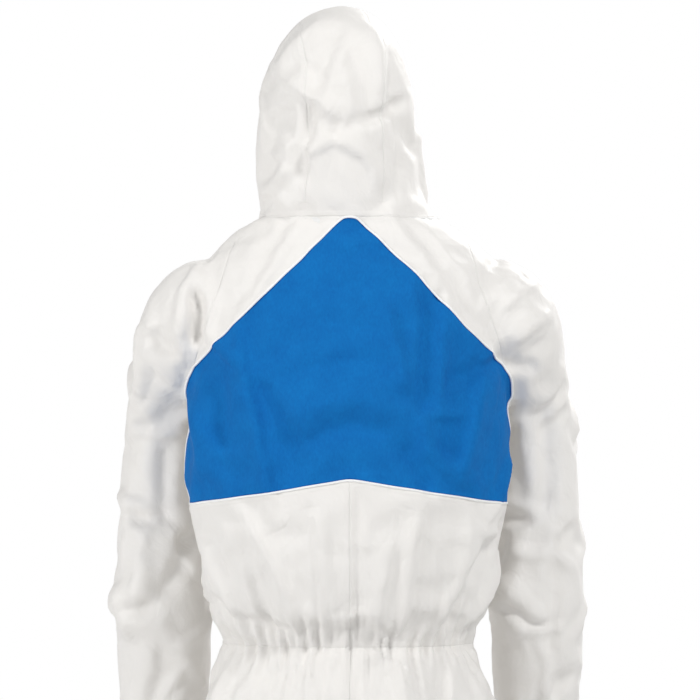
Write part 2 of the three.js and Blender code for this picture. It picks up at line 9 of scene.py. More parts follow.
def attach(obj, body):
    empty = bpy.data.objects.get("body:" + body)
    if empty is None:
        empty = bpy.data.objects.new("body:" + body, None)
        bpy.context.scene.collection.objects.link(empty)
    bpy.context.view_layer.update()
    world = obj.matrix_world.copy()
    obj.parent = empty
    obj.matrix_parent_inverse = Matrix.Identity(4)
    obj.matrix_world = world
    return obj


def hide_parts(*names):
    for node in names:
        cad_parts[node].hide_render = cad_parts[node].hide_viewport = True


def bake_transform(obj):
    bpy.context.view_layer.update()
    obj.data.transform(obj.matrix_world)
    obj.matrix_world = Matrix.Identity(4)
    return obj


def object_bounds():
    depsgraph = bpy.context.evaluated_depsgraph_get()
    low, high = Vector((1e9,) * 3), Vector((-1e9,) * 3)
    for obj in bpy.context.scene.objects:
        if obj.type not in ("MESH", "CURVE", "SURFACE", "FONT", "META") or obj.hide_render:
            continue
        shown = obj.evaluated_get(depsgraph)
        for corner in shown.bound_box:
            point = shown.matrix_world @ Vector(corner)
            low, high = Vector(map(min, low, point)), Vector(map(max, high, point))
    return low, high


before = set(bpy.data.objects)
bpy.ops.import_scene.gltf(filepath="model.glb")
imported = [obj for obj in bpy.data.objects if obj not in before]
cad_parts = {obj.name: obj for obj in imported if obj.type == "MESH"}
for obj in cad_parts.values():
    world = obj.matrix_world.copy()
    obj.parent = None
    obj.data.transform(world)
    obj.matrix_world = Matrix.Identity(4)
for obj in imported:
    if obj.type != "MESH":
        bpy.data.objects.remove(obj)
cad_low, cad_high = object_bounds()
scene = bpy.context.scene

# ---------------------------------------------------------------------------------------------
# Studio.  A pale floor and backdrop, a key light from above and behind the wearer's right, a
# weaker one from behind the left, one on the front, and a long lens level with the back's middle.
# ---------------------------------------------------------------------------------------------
FLOOR = cad_low[2] - 0.060          # the hems hang 60 mm above the floor
CAMERA_DISTANCE = 6.0
VIEW_WIDTH = 0.84
VIEW_CENTRE = Vector((0.0, 0.0, 1.4004 + FLOOR))

camera_data = bpy.data.cameras.new("camera")
camera_data.sensor_width = 36.0
camera_data.lens = 36.0 * CAMERA_DISTANCE / VIEW_WIDTH
camera = bpy.data.objects.new("camera", camera_data)
camera.location = VIEW_CENTRE + Vector((0.0, CAMERA_DISTANCE, 0.0))
camera.rotation_euler = (math.radians(90.0), 0.0, math.radians(180.0))
scene.collection.objects.link(camera)
scene.camera = camera
scene.view_settings.view_transform = "Standard"


def area_light(name, place, target, size, watts):
    data = bpy.data.lights.new(name, "AREA")
    data.shape = "DISK"
    data.size = size
    data.energy = watts
    lamp = bpy.data.objects.new(name, data)
    lamp.location = place
    lamp.rotation_euler = (Vector(target) - Vector(place)).to_track_quat("-Z", "Y").to_euler()
    scene.collection.objects.link(lamp)


area_light("key", (-1.9, 2.4, 2.7), (0.0, 0.0, 0.0), 0.9, 76.0)
area_light("side", (3.2, 2.2, 0.7), (0.0, 0.0, -0.1), 1.4, 56.0)
area_light("front_key", (-1.8, -3.0, 2.2), (0.0, 0.0, -0.3), 1.4, 95.0)

# The backdrop is a bright band round the horizon, and the room above and below it is dimmer.
world = bpy.data.worlds.new("studio")
world.use_nodes = True
world.node_tree.nodes["Background"].inputs["Color"].default_value = (1.0, 1.0, 1.0, 1.0)
scene.world = world
sky = world.node_tree.nodes.new("ShaderNodeTexCoord")
split = world.node_tree.nodes.new("ShaderNodeSeparateXYZ")
level = world.node_tree.nodes.new("ShaderNodeMath")
level.operation = "ABSOLUTE"
fade = world.node_tree.nodes.new("ShaderNodeMapRange")
for socket, value in (("From Min", 0.11), ("From Max", 0.34), ("To Min", 1.0), ("To Max", 0.34)):
    fade.inputs[socket].default_value = value
world.node_tree.links.new(sky.outputs["Generated"], split.inputs["Vector"])
world.node_tree.links.new(split.outputs["Z"], level.inputs[0])
world.node_tree.links.new(level.outputs["Value"], fade.inputs["Value"])
world.node_tree.links.new(fade.outputs["Result"], world.node_tree.nodes["Background"].inputs["Strength"])

bm = bmesh.new()
bmesh.ops.create_grid(bm, x_segments=1, y_segments=1, size=6.0)
bmesh.ops.translate(bm, verts=bm.verts, vec=(0.0, 0.0, FLOOR))
floor_mesh = bpy.data.meshes.new("floor")
bm.to_mesh(floor_mesh)
bm.free()
floor = bpy.data.objects.new("floor", floor_mesh)
scene.collection.objects.link(floor)
floor_paint = bpy.data.materials.new("floor")
floor_paint.use_nodes = True
floor_paint.node_tree.nodes["Principled BSDF"].inputs["Base Color"].default_value = (0.8, 0.8, 0.8, 1)
floor_paint.node_tree.nodes["Principled BSDF"].inputs["Roughness"].default_value = 0.7
floor_mesh.materials.append(floor_paint)

# ---------------------------------------------------------------------------------------------
# The cut of the suit.  Body, sleeves, legs and hood are lofted through listed rings as one
# size L garment on its wearer, and the same rings drawn in give the form that it is draped on.
# Heights are above the floor.
# ---------------------------------------------------------------------------------------------
BODY = [  # height, half width, front, back
    (0.798, 0.108, -0.092, 0.090),
    (0.832, 0.166, -0.128, 0.127),
    (0.880, 0.190, -0.132, 0.141),
    (0.980, 0.178, -0.129, 0.136),
    (1.050, 0.154, -0.126, 0.113),
    (1.105, 0.174, -0.125, 0.134),
    (1.160, 0.183, -0.123, 0.145),
    (1.230, 0.192, -0.121, 0.150),
    (1.320, 0.192, -0.118, 0.147),
    (1.390, 0.189, -0.116, 0.138),
    (1.450, 0.188, -0.114, 0.125),
    (1.495, 0.184, -0.113, 0.111),
    (1.520, 0.166, -0.112, 0.101),
    (1.542, 0.137, -0.110, 0.094),
    (1.560, 0.108, -0.106, 0.090),
    (1.580, 0.095, -0.100, 0.088),
]
SLEEVE = [  # x, y, height, half width, half depth
    (0.112, 0.000, 1.458, 0.056, 0.066),
    (0.150, -0.003, 1.448, 0.066, 0.076),
    (0.182, -0.008, 1.430, 0.068, 0.076),
    (0.213, -0.062, 1.362, 0.052, 0.062),
    (0.226, -0.078, 1.275, 0.050, 0.058),
    (0.228, -0.075, 1.190, 0.053, 0.059),
    (0.228, -0.071, 1.130, 0.056, 0.061),
    (0.227, -0.071, 1.070, 0.057, 0.060),
    (0.227, -0.084, 0.975, 0.053, 0.056),
    (0.233, -0.097, 0.905, 0.047, 0.050),
    (0.235, -0.102, 0.880, 0.036, 0.038),
    (0.237, -0.106, 0.847, 0.033, 0.036),
    (0.239, -0.110, 0.812, 0.033, 0.036),
]
LEG = [
    (0.090, 0.004, 0.930, 0.062, 0.092),
    (0.095, 0.003, 0.880, 0.089, 0.118),
    (0.101, 0.002, 0.800, 0.096, 0.122),
    (0.104, 0.000, 0.700, 0.093, 0.113),
    (0.107, -0.004, 0.600, 0.089, 0.102),
    (0.109, -0.006, 0.500, 0.085, 0.094),
    (0.112, 0.002, 0.400, 0.082, 0.091),
    (0.115, 0.012, 0.280, 0.079, 0.088),
    (0.117, 0.017, 0.160, 0.077, 0.085),
    (0.118, 0.018, 0.110, 0.071, 0.079),
    (0.118, 0.018, 0.090, 0.059, 0.067),
    (0.118, 0.018, 0.060, 0.058, 0.066),
]
HOOD = [  # height, shift to the left, half width, front, back
    (1.545, 0.002, 0.104, -0.104, 0.088),
    (1.580, 0.010, 0.099, -0.096, 0.094),
    (1.620, 0.016, 0.097, -0.095, 0.099),
    (1.665, 0.017, 0.094, -0.099, 0.104),
    (1.705, 0.016, 0.089, -0.102, 0.105),
    (1.745, 0.015, 0.079, -0.099, 0.098),
    (1.775, 0.013, 0.065, -0.085, 0.085),
    (1.796, 0.012, 0.047, -0.062, 0.063),
    (1.808, 0.011, 0.026, -0.036, 0.038),
    (1.813, 0.010, 0.008, -0.012, 0.014),
]
HOOD_TURN = math.radians(6.0)
NECK_SEAM = 1.560


def ramp(value):
    inside = min(1.0, max(0.0, value))
    return inside * inside * (3.0 - 2.0 * inside)


def through(table):
    """A smooth curve through the rows of a table, read at a fraction of its length."""
    rows = np.array(table)
    slopes = np.gradient(rows, axis=0)

    def at(fraction):
        place = min(max(fraction, 0.0), 1.0) * (len(rows) - 1)
        step = min(int(place), len(rows) - 2)
        t = place - step
        held = (2 * t**3 - 3 * t**2 + 1) * rows[step] + (3 * t**2 - 2 * t**3) * rows[step + 1]
        led = (t**3 - 2 * t**2 + t) * slopes[step] + (t**3 - t**2) * slopes[step + 1]
        return held + led

    return at


def barrel(columns, rows, place):
    """A closed barrel whose points are placed one by one from an angle and a height share."""
    form = bmesh.new()
    bmesh.ops.create_cone(
        form, cap_ends=True, cap_tris=False, segments=columns, radius1=1.0, radius2=1.0, depth=1.0
    )
    staves = [edge for edge in form.edges if abs(edge.verts[0].co.z - edge.verts[1].co.z) > 0.5]
    bmesh.ops.subdivide_edges(form, edges=staves, cuts=rows - 1)
    for vert in form.verts:
        vert.co = place(math.atan2(vert.co.y, vert.co.x), vert.co.z + 0.5)
    bmesh.ops.recalc_face_normals(form, faces=form.faces)
    mesh = bpy.data.meshes.new("barrel")
    form.to_mesh(mesh)
    form.free()
    return mesh


def body_form(inset):
    at = through(BODY)

    def place(angle, along):
        height, half_width, front, back = at(along)
        y = (front + back) / 2 + ((back - front) / 2 - inset) * math.sin(angle)
        narrowing = 1.0 - 0.28 * ramp((0.055 - y) / 0.185)
        across = math.copysign(abs(math.cos(angle)) ** 0.85, math.cos(angle))
        drop = inset * (ramp((height - 1.44) / 0.04) - 1.0 + ramp((height - 0.80) / 0.03))
        return Vector(((half_width * narrowing - inset) * across, y, height - drop + FLOOR))

    return barrel(64, 60, place)


def limb_point(at, side, inset, angle, share):
    """A point round a sleeve or leg, at a share of its length from the trunk."""
    x, y, height, half_width, half_depth = at(share)
    up = Vector(at(share - 0.01)[:3]) - Vector(at(share + 0.01)[:3])
    across = Vector((0.0, 1.0, 0.0)).cross(up).normalized()
    ahead = up.normalized().cross(across)
    point = Vector((x, y, height + FLOOR))
    point += across * (half_width - inset) * math.cos(angle)
    point += ahead * (half_depth - inset) * math.sin(angle)
    point.x *= side
    return point


def limb_form(table, inset, side):
    at = through(table)
    return barrel(40, 48, lambda angle, along: limb_point(at, side, inset, angle, 1.0 - along))


def hood_form(inset):
    at = through(HOOD)

    def place(angle, along):
        height, shift, half_width, front, back = at(along)
        width = max(0.001, half_width - inset)
        depth = max(0.001, (back - front) / 2 - inset)
        x = width * math.cos(angle)
        y = (front + back) / 2 + depth * math.sin(angle)
        turn = HOOD_TURN * ramp((height - NECK_SEAM) / 0.09)
        drop = inset * ramp((height - 1.72) / 0.06)
        return Vector((
            shift + x * math.cos(turn) - y * math.sin(turn),
            y * math.cos(turn) + x * math.sin(turn),
            height - drop + FLOOR,
        ))

    return barrel(56, 36, place)


def joined_form(name, insets, voxel, smoothing):
    """Body, sleeves, legs and hood as one closed skin of even squares."""
    body_inset, sleeve_inset, leg_inset, hood_inset = insets
    parts = [body_form(body_inset), hood_form(hood_inset)]
    for side in (1.0, -1.0):
        parts.append(limb_form(SLEEVE, sleeve_inset, side))
        parts.append(limb_form(LEG, leg_inset, side))
    whole = bmesh.new()
    for part in parts:
        whole.from_mesh(part)
        bpy.data.meshes.remove(part)
    mesh = bpy.data.meshes.new(name)
    whole.to_mesh(mesh)
    whole.free()
    obj = bpy.data.objects.new(name, mesh)
    scene.collection.objects.link(obj)
    remesh = obj.modifiers.new("even_squares", "REMESH")
    remesh.mode = "VOXEL"
    remesh.voxel_size = voxel
    smooth = obj.modifiers.new("ease", "SMOOTH")
    smooth.factor = 0.5
    smooth.iterations = smoothing
    bake_modifiers(obj)
    return obj


def bake_modifiers(obj):
    """The object's mesh becomes what its modifiers make of it, and none are left on it."""
    graph = bpy.context.evaluated_depsgraph_get()
    made = bpy.data.meshes.new_from_object(obj.evaluated_get(graph))
    obj.modifiers.clear()
    old = obj.data
    obj.data = made
    bpy.data.meshes.remove(old)


def drop_object(obj):
    mesh = obj.data
    bpy.data.objects.remove(obj)
    bpy.data.meshes.remove(mesh)


suit = joined_form("suit", (0.0, 0.0, 0.0, 0.0), 0.0086, 6)

# Openings: the sleeves and legs are cut level, and the face is an oval in the turned hood.
SLEEVE_END = 0.880
CUFF_END = 0.815
HEM_END = 0.062
FACE_CENTRE = 1.668
FACE_HALF = (0.064, 0.082)


def in_hood(point):
    """A point in the hood's own directions, which are turned a little to the left."""
    x, y = point.x - 0.016, point.y
    return Vector((
        x * math.cos(HOOD_TURN) + y * math.sin(HOOD_TURN),
        y * math.cos(HOOD_TURN) - x * math.sin(HOOD_TURN),
        point.z - FLOOR,
    ))


def face_reach(point):
    """How far out from the face opening's centre a point is: 1 on its edge, 9 behind the face."""
    local = in_hood(point)
    if local.y > -0.03 or local.z < 1.55:
        return 9.0
    return math.hypot(local.x / FACE_HALF[0], (local.z - FACE_CENTRE) / FACE_HALF[1])


bm = bmesh.new()
bm.from_mesh(suit.data)
for height, reach in ((CUFF_END, 0.16), (HEM_END, 0.0)):
    near = [
        face for face in bm.faces
        if abs(face.calc_center_median().z - FLOOR - height) < 0.03
        and abs(face.calc_center_median().x) > reach
        and (reach == 0.0 or face.calc_center_median().y < 0.0)
        and not (reach > 0.0 and abs(face.calc_center_median().x) < 0.2)
    ]
    rim = {vert for face in near for vert in face.verts} | {edge for face in near for edge in face.edges}
    bmesh.ops.bisect_plane(
        bm, geom=list(rim) + near, plane_co=(0, 0, height + FLOOR), plane_no=(0, 0, 1), dist=0.002
    )
    beyond = [
        vert for vert in bm.verts
        if vert.co.z - FLOOR < height - 0.0005 and abs(vert.co.x) > reach + 0.0
        and not (reach > 0.0 and (vert.co.y > -0.05 or abs(vert.co.x) < 0.195 or vert.co.z - FLOOR < 0.7))
    ]
    bmesh.ops.delete(bm, geom=beyond, context="VERTS")
faced = [vert for vert in bm.verts if face_reach(vert.co) < 0.97]
bmesh.ops.delete(bm, geom=faced, context="VERTS")
for vert in bm.verts:
    if vert.is_boundary and vert.co.z - FLOOR > 1.55:
        local = in_hood(vert.co)
        reach = math.hypot(local.x / FACE_HALF[0], (local.z - FACE_CENTRE) / FACE_HALF[1])
        vert.co.x += local.x * (1.0 / reach - 1.0) * math.cos(HOOD_TURN)
        vert.co.z += (local.z - FACE_CENTRE) * (1.0 / reach - 1.0)
bm.to_mesh(suit.data)
bm.free()

# ---------------------------------------------------------------------------------------------
# Folds.  The laminate creases like stiff paper: long pleats hang from the shoulders and the neck,
# short ones break over the waist and the elbows, and packing has left straight lines.  Each row is
# a ridge's height and the widths of its two slopes in millimetres, and then its line as pairs of
# sideways place and height above the floor.
# ---------------------------------------------------------------------------------------------
BACK_FOLDS = [
    (5.0, 30, 9, ((0.133, 1.436), (0.118, 1.358), (0.105, 1.293), (0.090, 1.216))),
    (-3.4, 16, 22, ((0.118, 1.371), (0.095, 1.325), (0.078, 1.290), (0.063, 1.241))),
    (3.0, 8, 14, ((0.161, 1.410), (0.145, 1.396), (0.128, 1.381))),
    (-5.0, 24, 20, ((0.158, 1.375), (0.156, 1.320), (0.152, 1.280))),
    (4.0, 16, 26, ((0.175, 1.360), (0.178, 1.300), (0.172, 1.240))),
    (-4.4, 10, 24, ((-0.087, 1.472), (-0.090, 1.436), (-0.085, 1.371), (-0.082, 1.320))),
    (4.2, 26, 10, ((-0.042, 1.460), (-0.050, 1.415), (-0.059, 1.384), (-0.066, 1.345))),
    (-2.4, 7, 10, ((-0.109, 1.474), (-0.100, 1.455))),
    (4.4, 10, 20, ((-0.082, 1.327), (-0.090, 1.285), (-0.108, 1.265), (-0.120, 1.249))),
    (-3.6, 14, 12, ((-0.061, 1.292), (-0.082, 1.257), (-0.094, 1.236))),
    (5.4, 14, 26, ((-0.163, 1.392), (-0.152, 1.345), (-0.142, 1.301), (-0.124, 1.240))),
    (-4.0, 16, 24, ((-0.128, 1.420), (-0.124, 1.370), (-0.118, 1.300), (-0.108, 1.262))),
    (2.6, 8, 12, ((-0.085, 1.328), (-0.112, 1.324), (-0.142, 1.327))),
    (2.2, 8, 12, ((-0.170, 1.402), (-0.156, 1.386))),
    (7.0, 34, 46, ((0.085, 1.318), (0.030, 1.338), (-0.012, 1.345), (-0.058, 1.330))),
    (5.0, 26, 10, ((0.120, 1.207), (0.097, 1.167), (0.074, 1.121), (0.066, 1.071))),
    (3.6, 12, 18, ((0.036, 1.225), (0.034, 1.159), (0.024, 1.080))),
    (-3.0, 6, 7, ((-0.008, 1.247), (-0.009, 1.150), (-0.008, 1.044))),
    (5.6, 26, 12, ((0.179, 1.190), (0.154, 1.128), (0.131, 1.086), (0.112, 1.052))),
    (-4.0, 14, 16, ((0.118, 1.138), (0.103, 1.105), (0.092, 1.056))),
    (3.6, 10, 14, ((-0.080, 1.213), (-0.070, 1.167), (-0.064, 1.120), (-0.052, 1.062))),
    (4.6, 12, 26, ((-0.141, 1.213), (-0.137, 1.167), (-0.132, 1.128), (-0.095, 1.065))),
    (-6.0, 14, 34, ((-0.180, 1.190), (-0.152, 1.147), (-0.130, 1.109), (-0.103, 1.062))),
    (3.0, 9, 12, ((-0.145, 1.190), (-0.165, 1.184), (-0.191, 1.182))),
    (4.0, 12, 18, ((-0.040, 1.180), (-0.034, 1.120), (-0.026, 1.060))),
    (3.4, 10, 16, ((0.150, 1.040), (0.158, 0.985), (0.150, 0.900))),
    (-4.0, 18, 22, ((0.090, 1.036), (0.100, 0.980), (0.112, 0.880))),
    (4.6, 22, 14, ((0.050, 1.038), (0.040, 0.960), (0.046, 0.880))),
    (-3.0, 6, 7, ((-0.006, 1.044), (-0.007, 0.960), (-0.004, 0.870))),
    (4.6, 16, 24, ((-0.055, 1.038), (-0.062, 0.960), (-0.080, 0.860))),
    (-4.4, 20, 14, ((-0.110, 1.036), (-0.104, 0.970), (-0.116, 0.890))),
    (4.0, 12, 20, ((-0.150, 1.040), (-0.158, 0.980), (-0.146, 0.900))),
    (3.0, 14, 12, ((0.060, 1.556), (0.088, 1.500), (0.128, 1.440))),
    (-2.6, 14, 14, ((-0.070, 1.552), (-0.110, 1.500), (-0.150, 1.425))),
    (-12.0, 11, 15, ((0.186, 1.478), (0.183, 1.448), (0.186, 1.404))),
    (5.0, 10, 26, ((0.170, 1.512), (0.196, 1.470), (0.204, 1.430), (0.208, 1.380))),
    (5.0, 26, 10, ((0.237, 1.454), (0.238, 1.410), (0.243, 1.366), (0.256, 1.330), (0.250, 1.300))),
    (4.0, 20, 10, ((0.262, 1.243), (0.268, 1.178), (0.270, 1.082), (0.264, 1.040))),
    (-5.0, 10, 22, ((0.240, 1.424), (0.222, 1.404), (0.200, 1.398))),
    (4.0, 10, 16, ((0.237, 1.396), (0.222, 1.380), (0.205, 1.360))),
    (3.4, 8, 10, ((0.263, 1.302), (0.230, 1.299), (0.190, 1.303))),
    (-5.0, 14, 14, ((0.222, 1.296), (0.224, 1.240), (0.226, 1.186))),
    (4.6, 12, 20, ((0.267, 1.048), (0.254, 1.109), (0.242, 1.155))),
    (-5.0, 14, 18, ((0.196, 1.190), (0.206, 1.140), (0.232, 1.100))),
    (3.0, 8, 14, ((-0.180, 1.446), (-0.204, 1.470), (-0.226, 1.480))),
    (4.0, 10, 20, ((-0.191, 1.408), (-0.218, 1.431), (-0.240, 1.446))),
    (-4.0, 12, 16, ((-0.188, 1.388), (-0.204, 1.380), (-0.224, 1.384))),
    (5.0, 14, 26, ((-0.212, 1.376), (-0.208, 1.300), (-0.222, 1.220))),
    (-4.0, 16, 20, ((-0.236, 1.340), (-0.238, 1.270), (-0.232, 1.200))),
    (4.0, 9, 16, ((-0.194, 1.159), (-0.218, 1.152), (-0.243, 1.155))),
    (5.0, 10, 18, ((-0.184, 1.130), (-0.204, 1.098), (-0.222, 1.082), (-0.250, 1.078))),
    (-5.0, 14, 18, ((-0.250, 1.150), (-0.246, 1.100), (-0.240, 1.030))),
    (3.6, 10, 12, ((-0.262, 1.068), (-0.232, 1.062), (-0.196, 1.066))),
    (4.0, 14, 16, ((0.093, 1.729), (0.063, 1.764), (0.027, 1.795))),
    (4.4, 10, 22, ((0.082, 1.722), (0.065, 1.712), (0.052, 1.703), (0.038, 1.694), (0.015, 1.676))),
    (-3.0, 8, 10, ((0.015, 1.676), (0.016, 1.662), (0.017, 1.650))),
    (3.2, 8, 18, ((0.052, 1.631), (0.034, 1.641), (0.017, 1.650))),
    (3.6, 8, 18, ((0.017, 1.650), (-0.018, 1.631), (-0.027, 1.613), (-0.030, 1.592))),
    (-5.4, 20, 16, ((0.016, 1.793), (0.018, 1.772), (0.027, 1.752), (0.036, 1.730), (0.043, 1.699))),
    (-6.0, 16, 13, ((0.043, 1.699), (0.052, 1.658), (0.058, 1.636), (0.059, 1.600))),
    (-2.4, 6, 7, ((0.058, 1.745), (0.048, 1.736), (0.037, 1.727))),
    (-4.0, 18, 16, ((0.006, 1.775), (-0.003, 1.752), (-0.016, 1.710), (-0.022, 1.685), (-0.034, 1.668))),
    (3.4, 16, 12, ((-0.016, 1.789), (-0.029, 1.773), (-0.034, 1.756), (-0.038, 1.700))),
    (-4.0, 14, 18, ((-0.048, 1.740), (-0.052, 1.700), (-0.060, 1.640), (-0.062, 1.590))),
    (3.0, 8, 10, ((0.098, 1.639), (0.085, 1.628))),
    (4.0, 14, 14, ((0.107, 1.584), (0.088, 1.602), (0.071, 1.622))),
    (-5.0, 18, 14, ((0.076, 1.690), (0.074, 1.660), (0.066, 1.650))),
]
LIMB_FOLDS = [  # seed, count, sideways from and to, height from and to, length, view
    (3, 26, (0.040, 0.190), (0.110, 0.800), 0.130, "behind"),
    (5, 26, (-0.190, -0.040), (0.110, 0.800), 0.130, "behind"),
    (7, 30, (0.040, 0.190), (0.110, 0.900), 0.130, "ahead"),
    (9, 30, (-0.190, -0.040), (0.110, 0.900), 0.130, "ahead"),
    (11, 22, (-0.090, 0.100), (0.110, 0.900), 0.120, "left"),
    (13, 22, (-0.090, 0.100), (0.110, 0.900), 0.120, "right"),
    (15, 20, (-0.140, 0.060), (0.900, 1.440), 0.090, "left"),
    (17, 20, (-0.140, 0.060), (0.900, 1.440), 0.090, "right"),
    (19, 9, (0.190, 0.280), (0.900, 1.060), 0.080, "behind"),
    (21, 9, (-0.280, -0.190), (0.900, 1.060), 0.080, "behind"),
    (23, 20, (0.170, 0.280), (0.900, 1.440), 0.090, "ahead"),
    (25, 20, (-0.280, -0.170), (0.900, 1.440), 0.090, "ahead"),
    (27, 14, (0.045, 0.160), (1.070, 1.500), 0.130, "ahead"),
    (29, 14, (-0.160, -0.045), (1.070, 1.500), 0.130, "ahead"),
    (31, 5, (-0.080, 0.090), (1.580, 1.740), 0.080, "left"),
    (33, 5, (-0.080, 0.090), (1.580, 1.740), 0.080, "right"),
]
VIEWS = {  # the axis that runs sideways, and the way that the seen cloth faces
    "behind": (0, (0.0, 1.0, 0.0)),
    "ahead": (0, (0.0, -1.0, 0.0)),
    "left": (1, (1.0, 0.0, 0.0)),
    "right": (1, (-1.0, 0.0, 0.0)),
}


def eased(values):
    """ramp() for an array."""
    inside = np.clip(values, 0.0, 1.0)
    return inside * inside * (3.0 - 2.0 * inside)


def read_vectors(collection, attribute):
    flat = np.empty(len(collection) * 3)
    collection.foreach_get(attribute, flat)
    return flat.reshape(-1, 3)


def above_floor(points):
    return points - np.array((0.0, 0.0, FLOOR))


def ridge(seen, line, widths, height):
    """How far each seen place is raised by one fold: the most on its line, fading at its ends."""
    line = np.array(line)
    rise = np.zeros(len(seen))
    reach = max(widths)
    near = np.all((seen > line.min(axis=0) - reach) & (seen < line.max(axis=0) + reach), axis=1)
    spots = seen[near]
    nearest = np.full(len(spots), reach)
    side = np.zeros(len(spots))
    along = np.zeros(len(spots))
    lengths = np.linalg.norm(np.diff(line, axis=0), axis=1)
    passed = 0.0
    for start, step, length in zip(line, np.diff(line, axis=0), lengths):
        share = np.clip((spots - start) @ step / length**2, 0.0, 1.0)
        away = spots - start - share[:, None] * step
        distance = np.linalg.norm(away, axis=1)
        closer = distance < nearest
        nearest = np.where(closer, distance, nearest)
        side = np.where(closer, step[0] * away[:, 1] - step[1] * away[:, 0], side)
        along = np.where(closer, (passed + share * length) / lengths.sum(), along)
        passed += length
    width = np.where(side > 0.0, widths[0], widths[1])
    slope = np.clip(1.0 - nearest / width, 0.0, 1.0)
    rise[near] = height * slope**1.1 * np.clip(np.minimum(along, 1.0 - along) * 5.0 + 0.15, 0.0, 1.0)
    return rise


def strewn_folds(seed, count, sideways, heights, length):
    """Folds like the ones a worn sleeve or leg takes up, mostly upright and bent once or twice."""
    chance = np.random.default_rng(seed)
    for _ in range(count):
        place = np.array((chance.uniform(*sideways), chance.uniform(*heights)))
        angle = math.radians(90.0 + chance.choice((-1.0, 1.0)) * chance.uniform(4.0, 60.0))
        line = [place]
        for _ in range(3):
            angle += chance.normal(0.0, 0.28)
            line.append(line[-1] + 0.4 * length * np.array((math.cos(angle), -math.sin(angle))))
        size = chance.uniform(0.5, 1.0)
        height = chance.choice((-1.0, 1.0, 1.0)) * 5.4 * size
        yield height, chance.uniform(9, 26), chance.uniform(9, 26), line


def folds_on(points, facing):
    """The rise of all listed and strewn folds at each point of the suit."""
    rise = np.zeros(len(points))
    tables = [("behind", BACK_FOLDS)]
    for seed, count, sideways, heights, length, view in LIMB_FOLDS:
        tables.append((view, list(strewn_folds(seed, count, sideways, heights, length))))
    for view, folds in tables:
        axis, toward = VIEWS[view]
        seen = points[:, (axis, 2)]
        shown = eased((facing @ np.array(toward) - 0.05) / 0.5)
        for height, before, after, line in folds:
            rise += shown * ridge(seen, line, (before / 1000.0, after / 1000.0), height / 1000.0)
    return rise


def beside_zip(points):
    """1 in loose cloth, falling to 0 beside the zip, where the front lies straight."""
    front = eased((0.03 - points[:, 1]) / 0.03) * eased((points[:, 2] - 0.84) / 0.02)
    front *= eased((1.600 - points[:, 2]) / 0.02)
    return 1.0 - front * (1.0 - eased((np.abs(points[:, 0]) - 0.020) / 0.035))


WAIST = 1.050
GATHERED = [  # centre across and along, half height from and to, pleats round, height of them
    (0.0, 0.0, WAIST, 0.052, 61, 3.4),
    (0.118, 0.018, 0.090, 0.045, 29, 3.0),
    (-0.118, 0.018, 0.090, 0.045, 29, 3.0),
    (0.235, -0.102, 0.884, 0.038, 17, 2.8),
    (-0.235, -0.102, 0.884, 0.038, 17, 2.8),
]


def gathers_on(points):
    """Small upright pleats where elastic draws the cloth in."""
    rise = np.zeros(len(points))
    for x, y, height, reach, pleats, size in GATHERED:
        around = np.hypot(points[:, 0] - x, (points[:, 1] - y) * 1.15)
        here = (around < 0.20) if x == 0.0 else (around < 0.105)
        if x == 0.0:
            here &= sleeve_side(points) < 0.0
        if abs(x) > 0.2:
            here &= sleeve_side(points) > 0.0
        angle = np.arctan2(points[:, 1] - y, points[:, 0] - x)
        away = points[:, 2] - height
        fade = np.exp(-np.abs(away) / (reach * np.where(away > 0.0, 1.0, 0.7)))
        wander = 1.3 * np.sin(3.0 * angle + 1.0) + 0.9 * np.sin(7.0 * angle + away * 30.0)
        pleat = np.sin(pleats * angle + 2.2 * wander) + 0.6 * np.sin(pleats * 0.62 * angle - wander)
        rise += here * fade * size / 1000.0 * pleat
        pinch = np.exp(-((away / 0.0085) ** 2)) * (0.0045 if x == 0.0 else 0.0)
        rise -= here * pinch
    return rise


def rings_at(table, heights):
    rows = np.array(sorted(table, key=lambda row: row[0]))
    return [np.interp(heights, rows[:, 0], column) for column in rows.T[1:]]


def sleeve_side(points):
    """Metres past the armhole seam: above 0 on the sleeves, below 0 on the body."""
    x = np.abs(points[:, 0])
    y, height = points[:, 1], points[:, 2]
    half_width, front, back = rings_at(BODY, height)
    narrowing = 1.0 - 0.28 * eased((0.055 - y) / 0.185)
    on_body = (x / (half_width * narrowing)) ** 2.35 + ((2 * y - front - back) / (back - front)) ** 2
    level = [(row[2], row[0], row[1], row[3], row[4]) for row in SLEEVE]
    across, along, wide, deep = rings_at(level, height)
    on_sleeve = np.hypot((x - across) / wide, (y - along) / deep)
    valley = 0.06 * (np.sqrt(on_body) - on_sleeve)
    valley = np.where((on_sleeve > 1.5) & (height < 1.15), -0.05, valley)
    valley = np.where(height > 1.20, np.maximum(valley, x - 0.194), valley)
    seam = 0.95 * (x - 0.184 + (height - 1.388) * 0.3226)
    return seam + (valley - seam) * eased((1.378 - height) / 0.02)


# ---------------------------------------------------------------------------------------------
# Draping.  The folded suit is let fall on its wearer's form, a little larger than it was cut, so
# that the cloth between the folds slackens and hangs.  The rims, the waist and the zip hold it.
# ---------------------------------------------------------------------------------------------
FALLING_FRAMES = 14
fitted = suit.copy()
fitted.data = suit.data.copy()
scene.collection.objects.link(fitted)


def raise_skin(obj, rise):
    """Moves every point of a skin along its normal."""
    mesh = obj.data
    points = read_vectors(mesh.vertices, "co")
    normals = read_vectors(mesh.vertex_normals, "vector")
    mesh.vertices.foreach_set("co", (points + normals * rise[:, None]).ravel())
    mesh.update()


def share_group(obj, name, shares):
    group = obj.vertex_groups.new(name=name)
    for index, share in enumerate(shares):
        if share > 0.0:
            group.add([index], min(1.0, float(share)), "REPLACE")
    return name


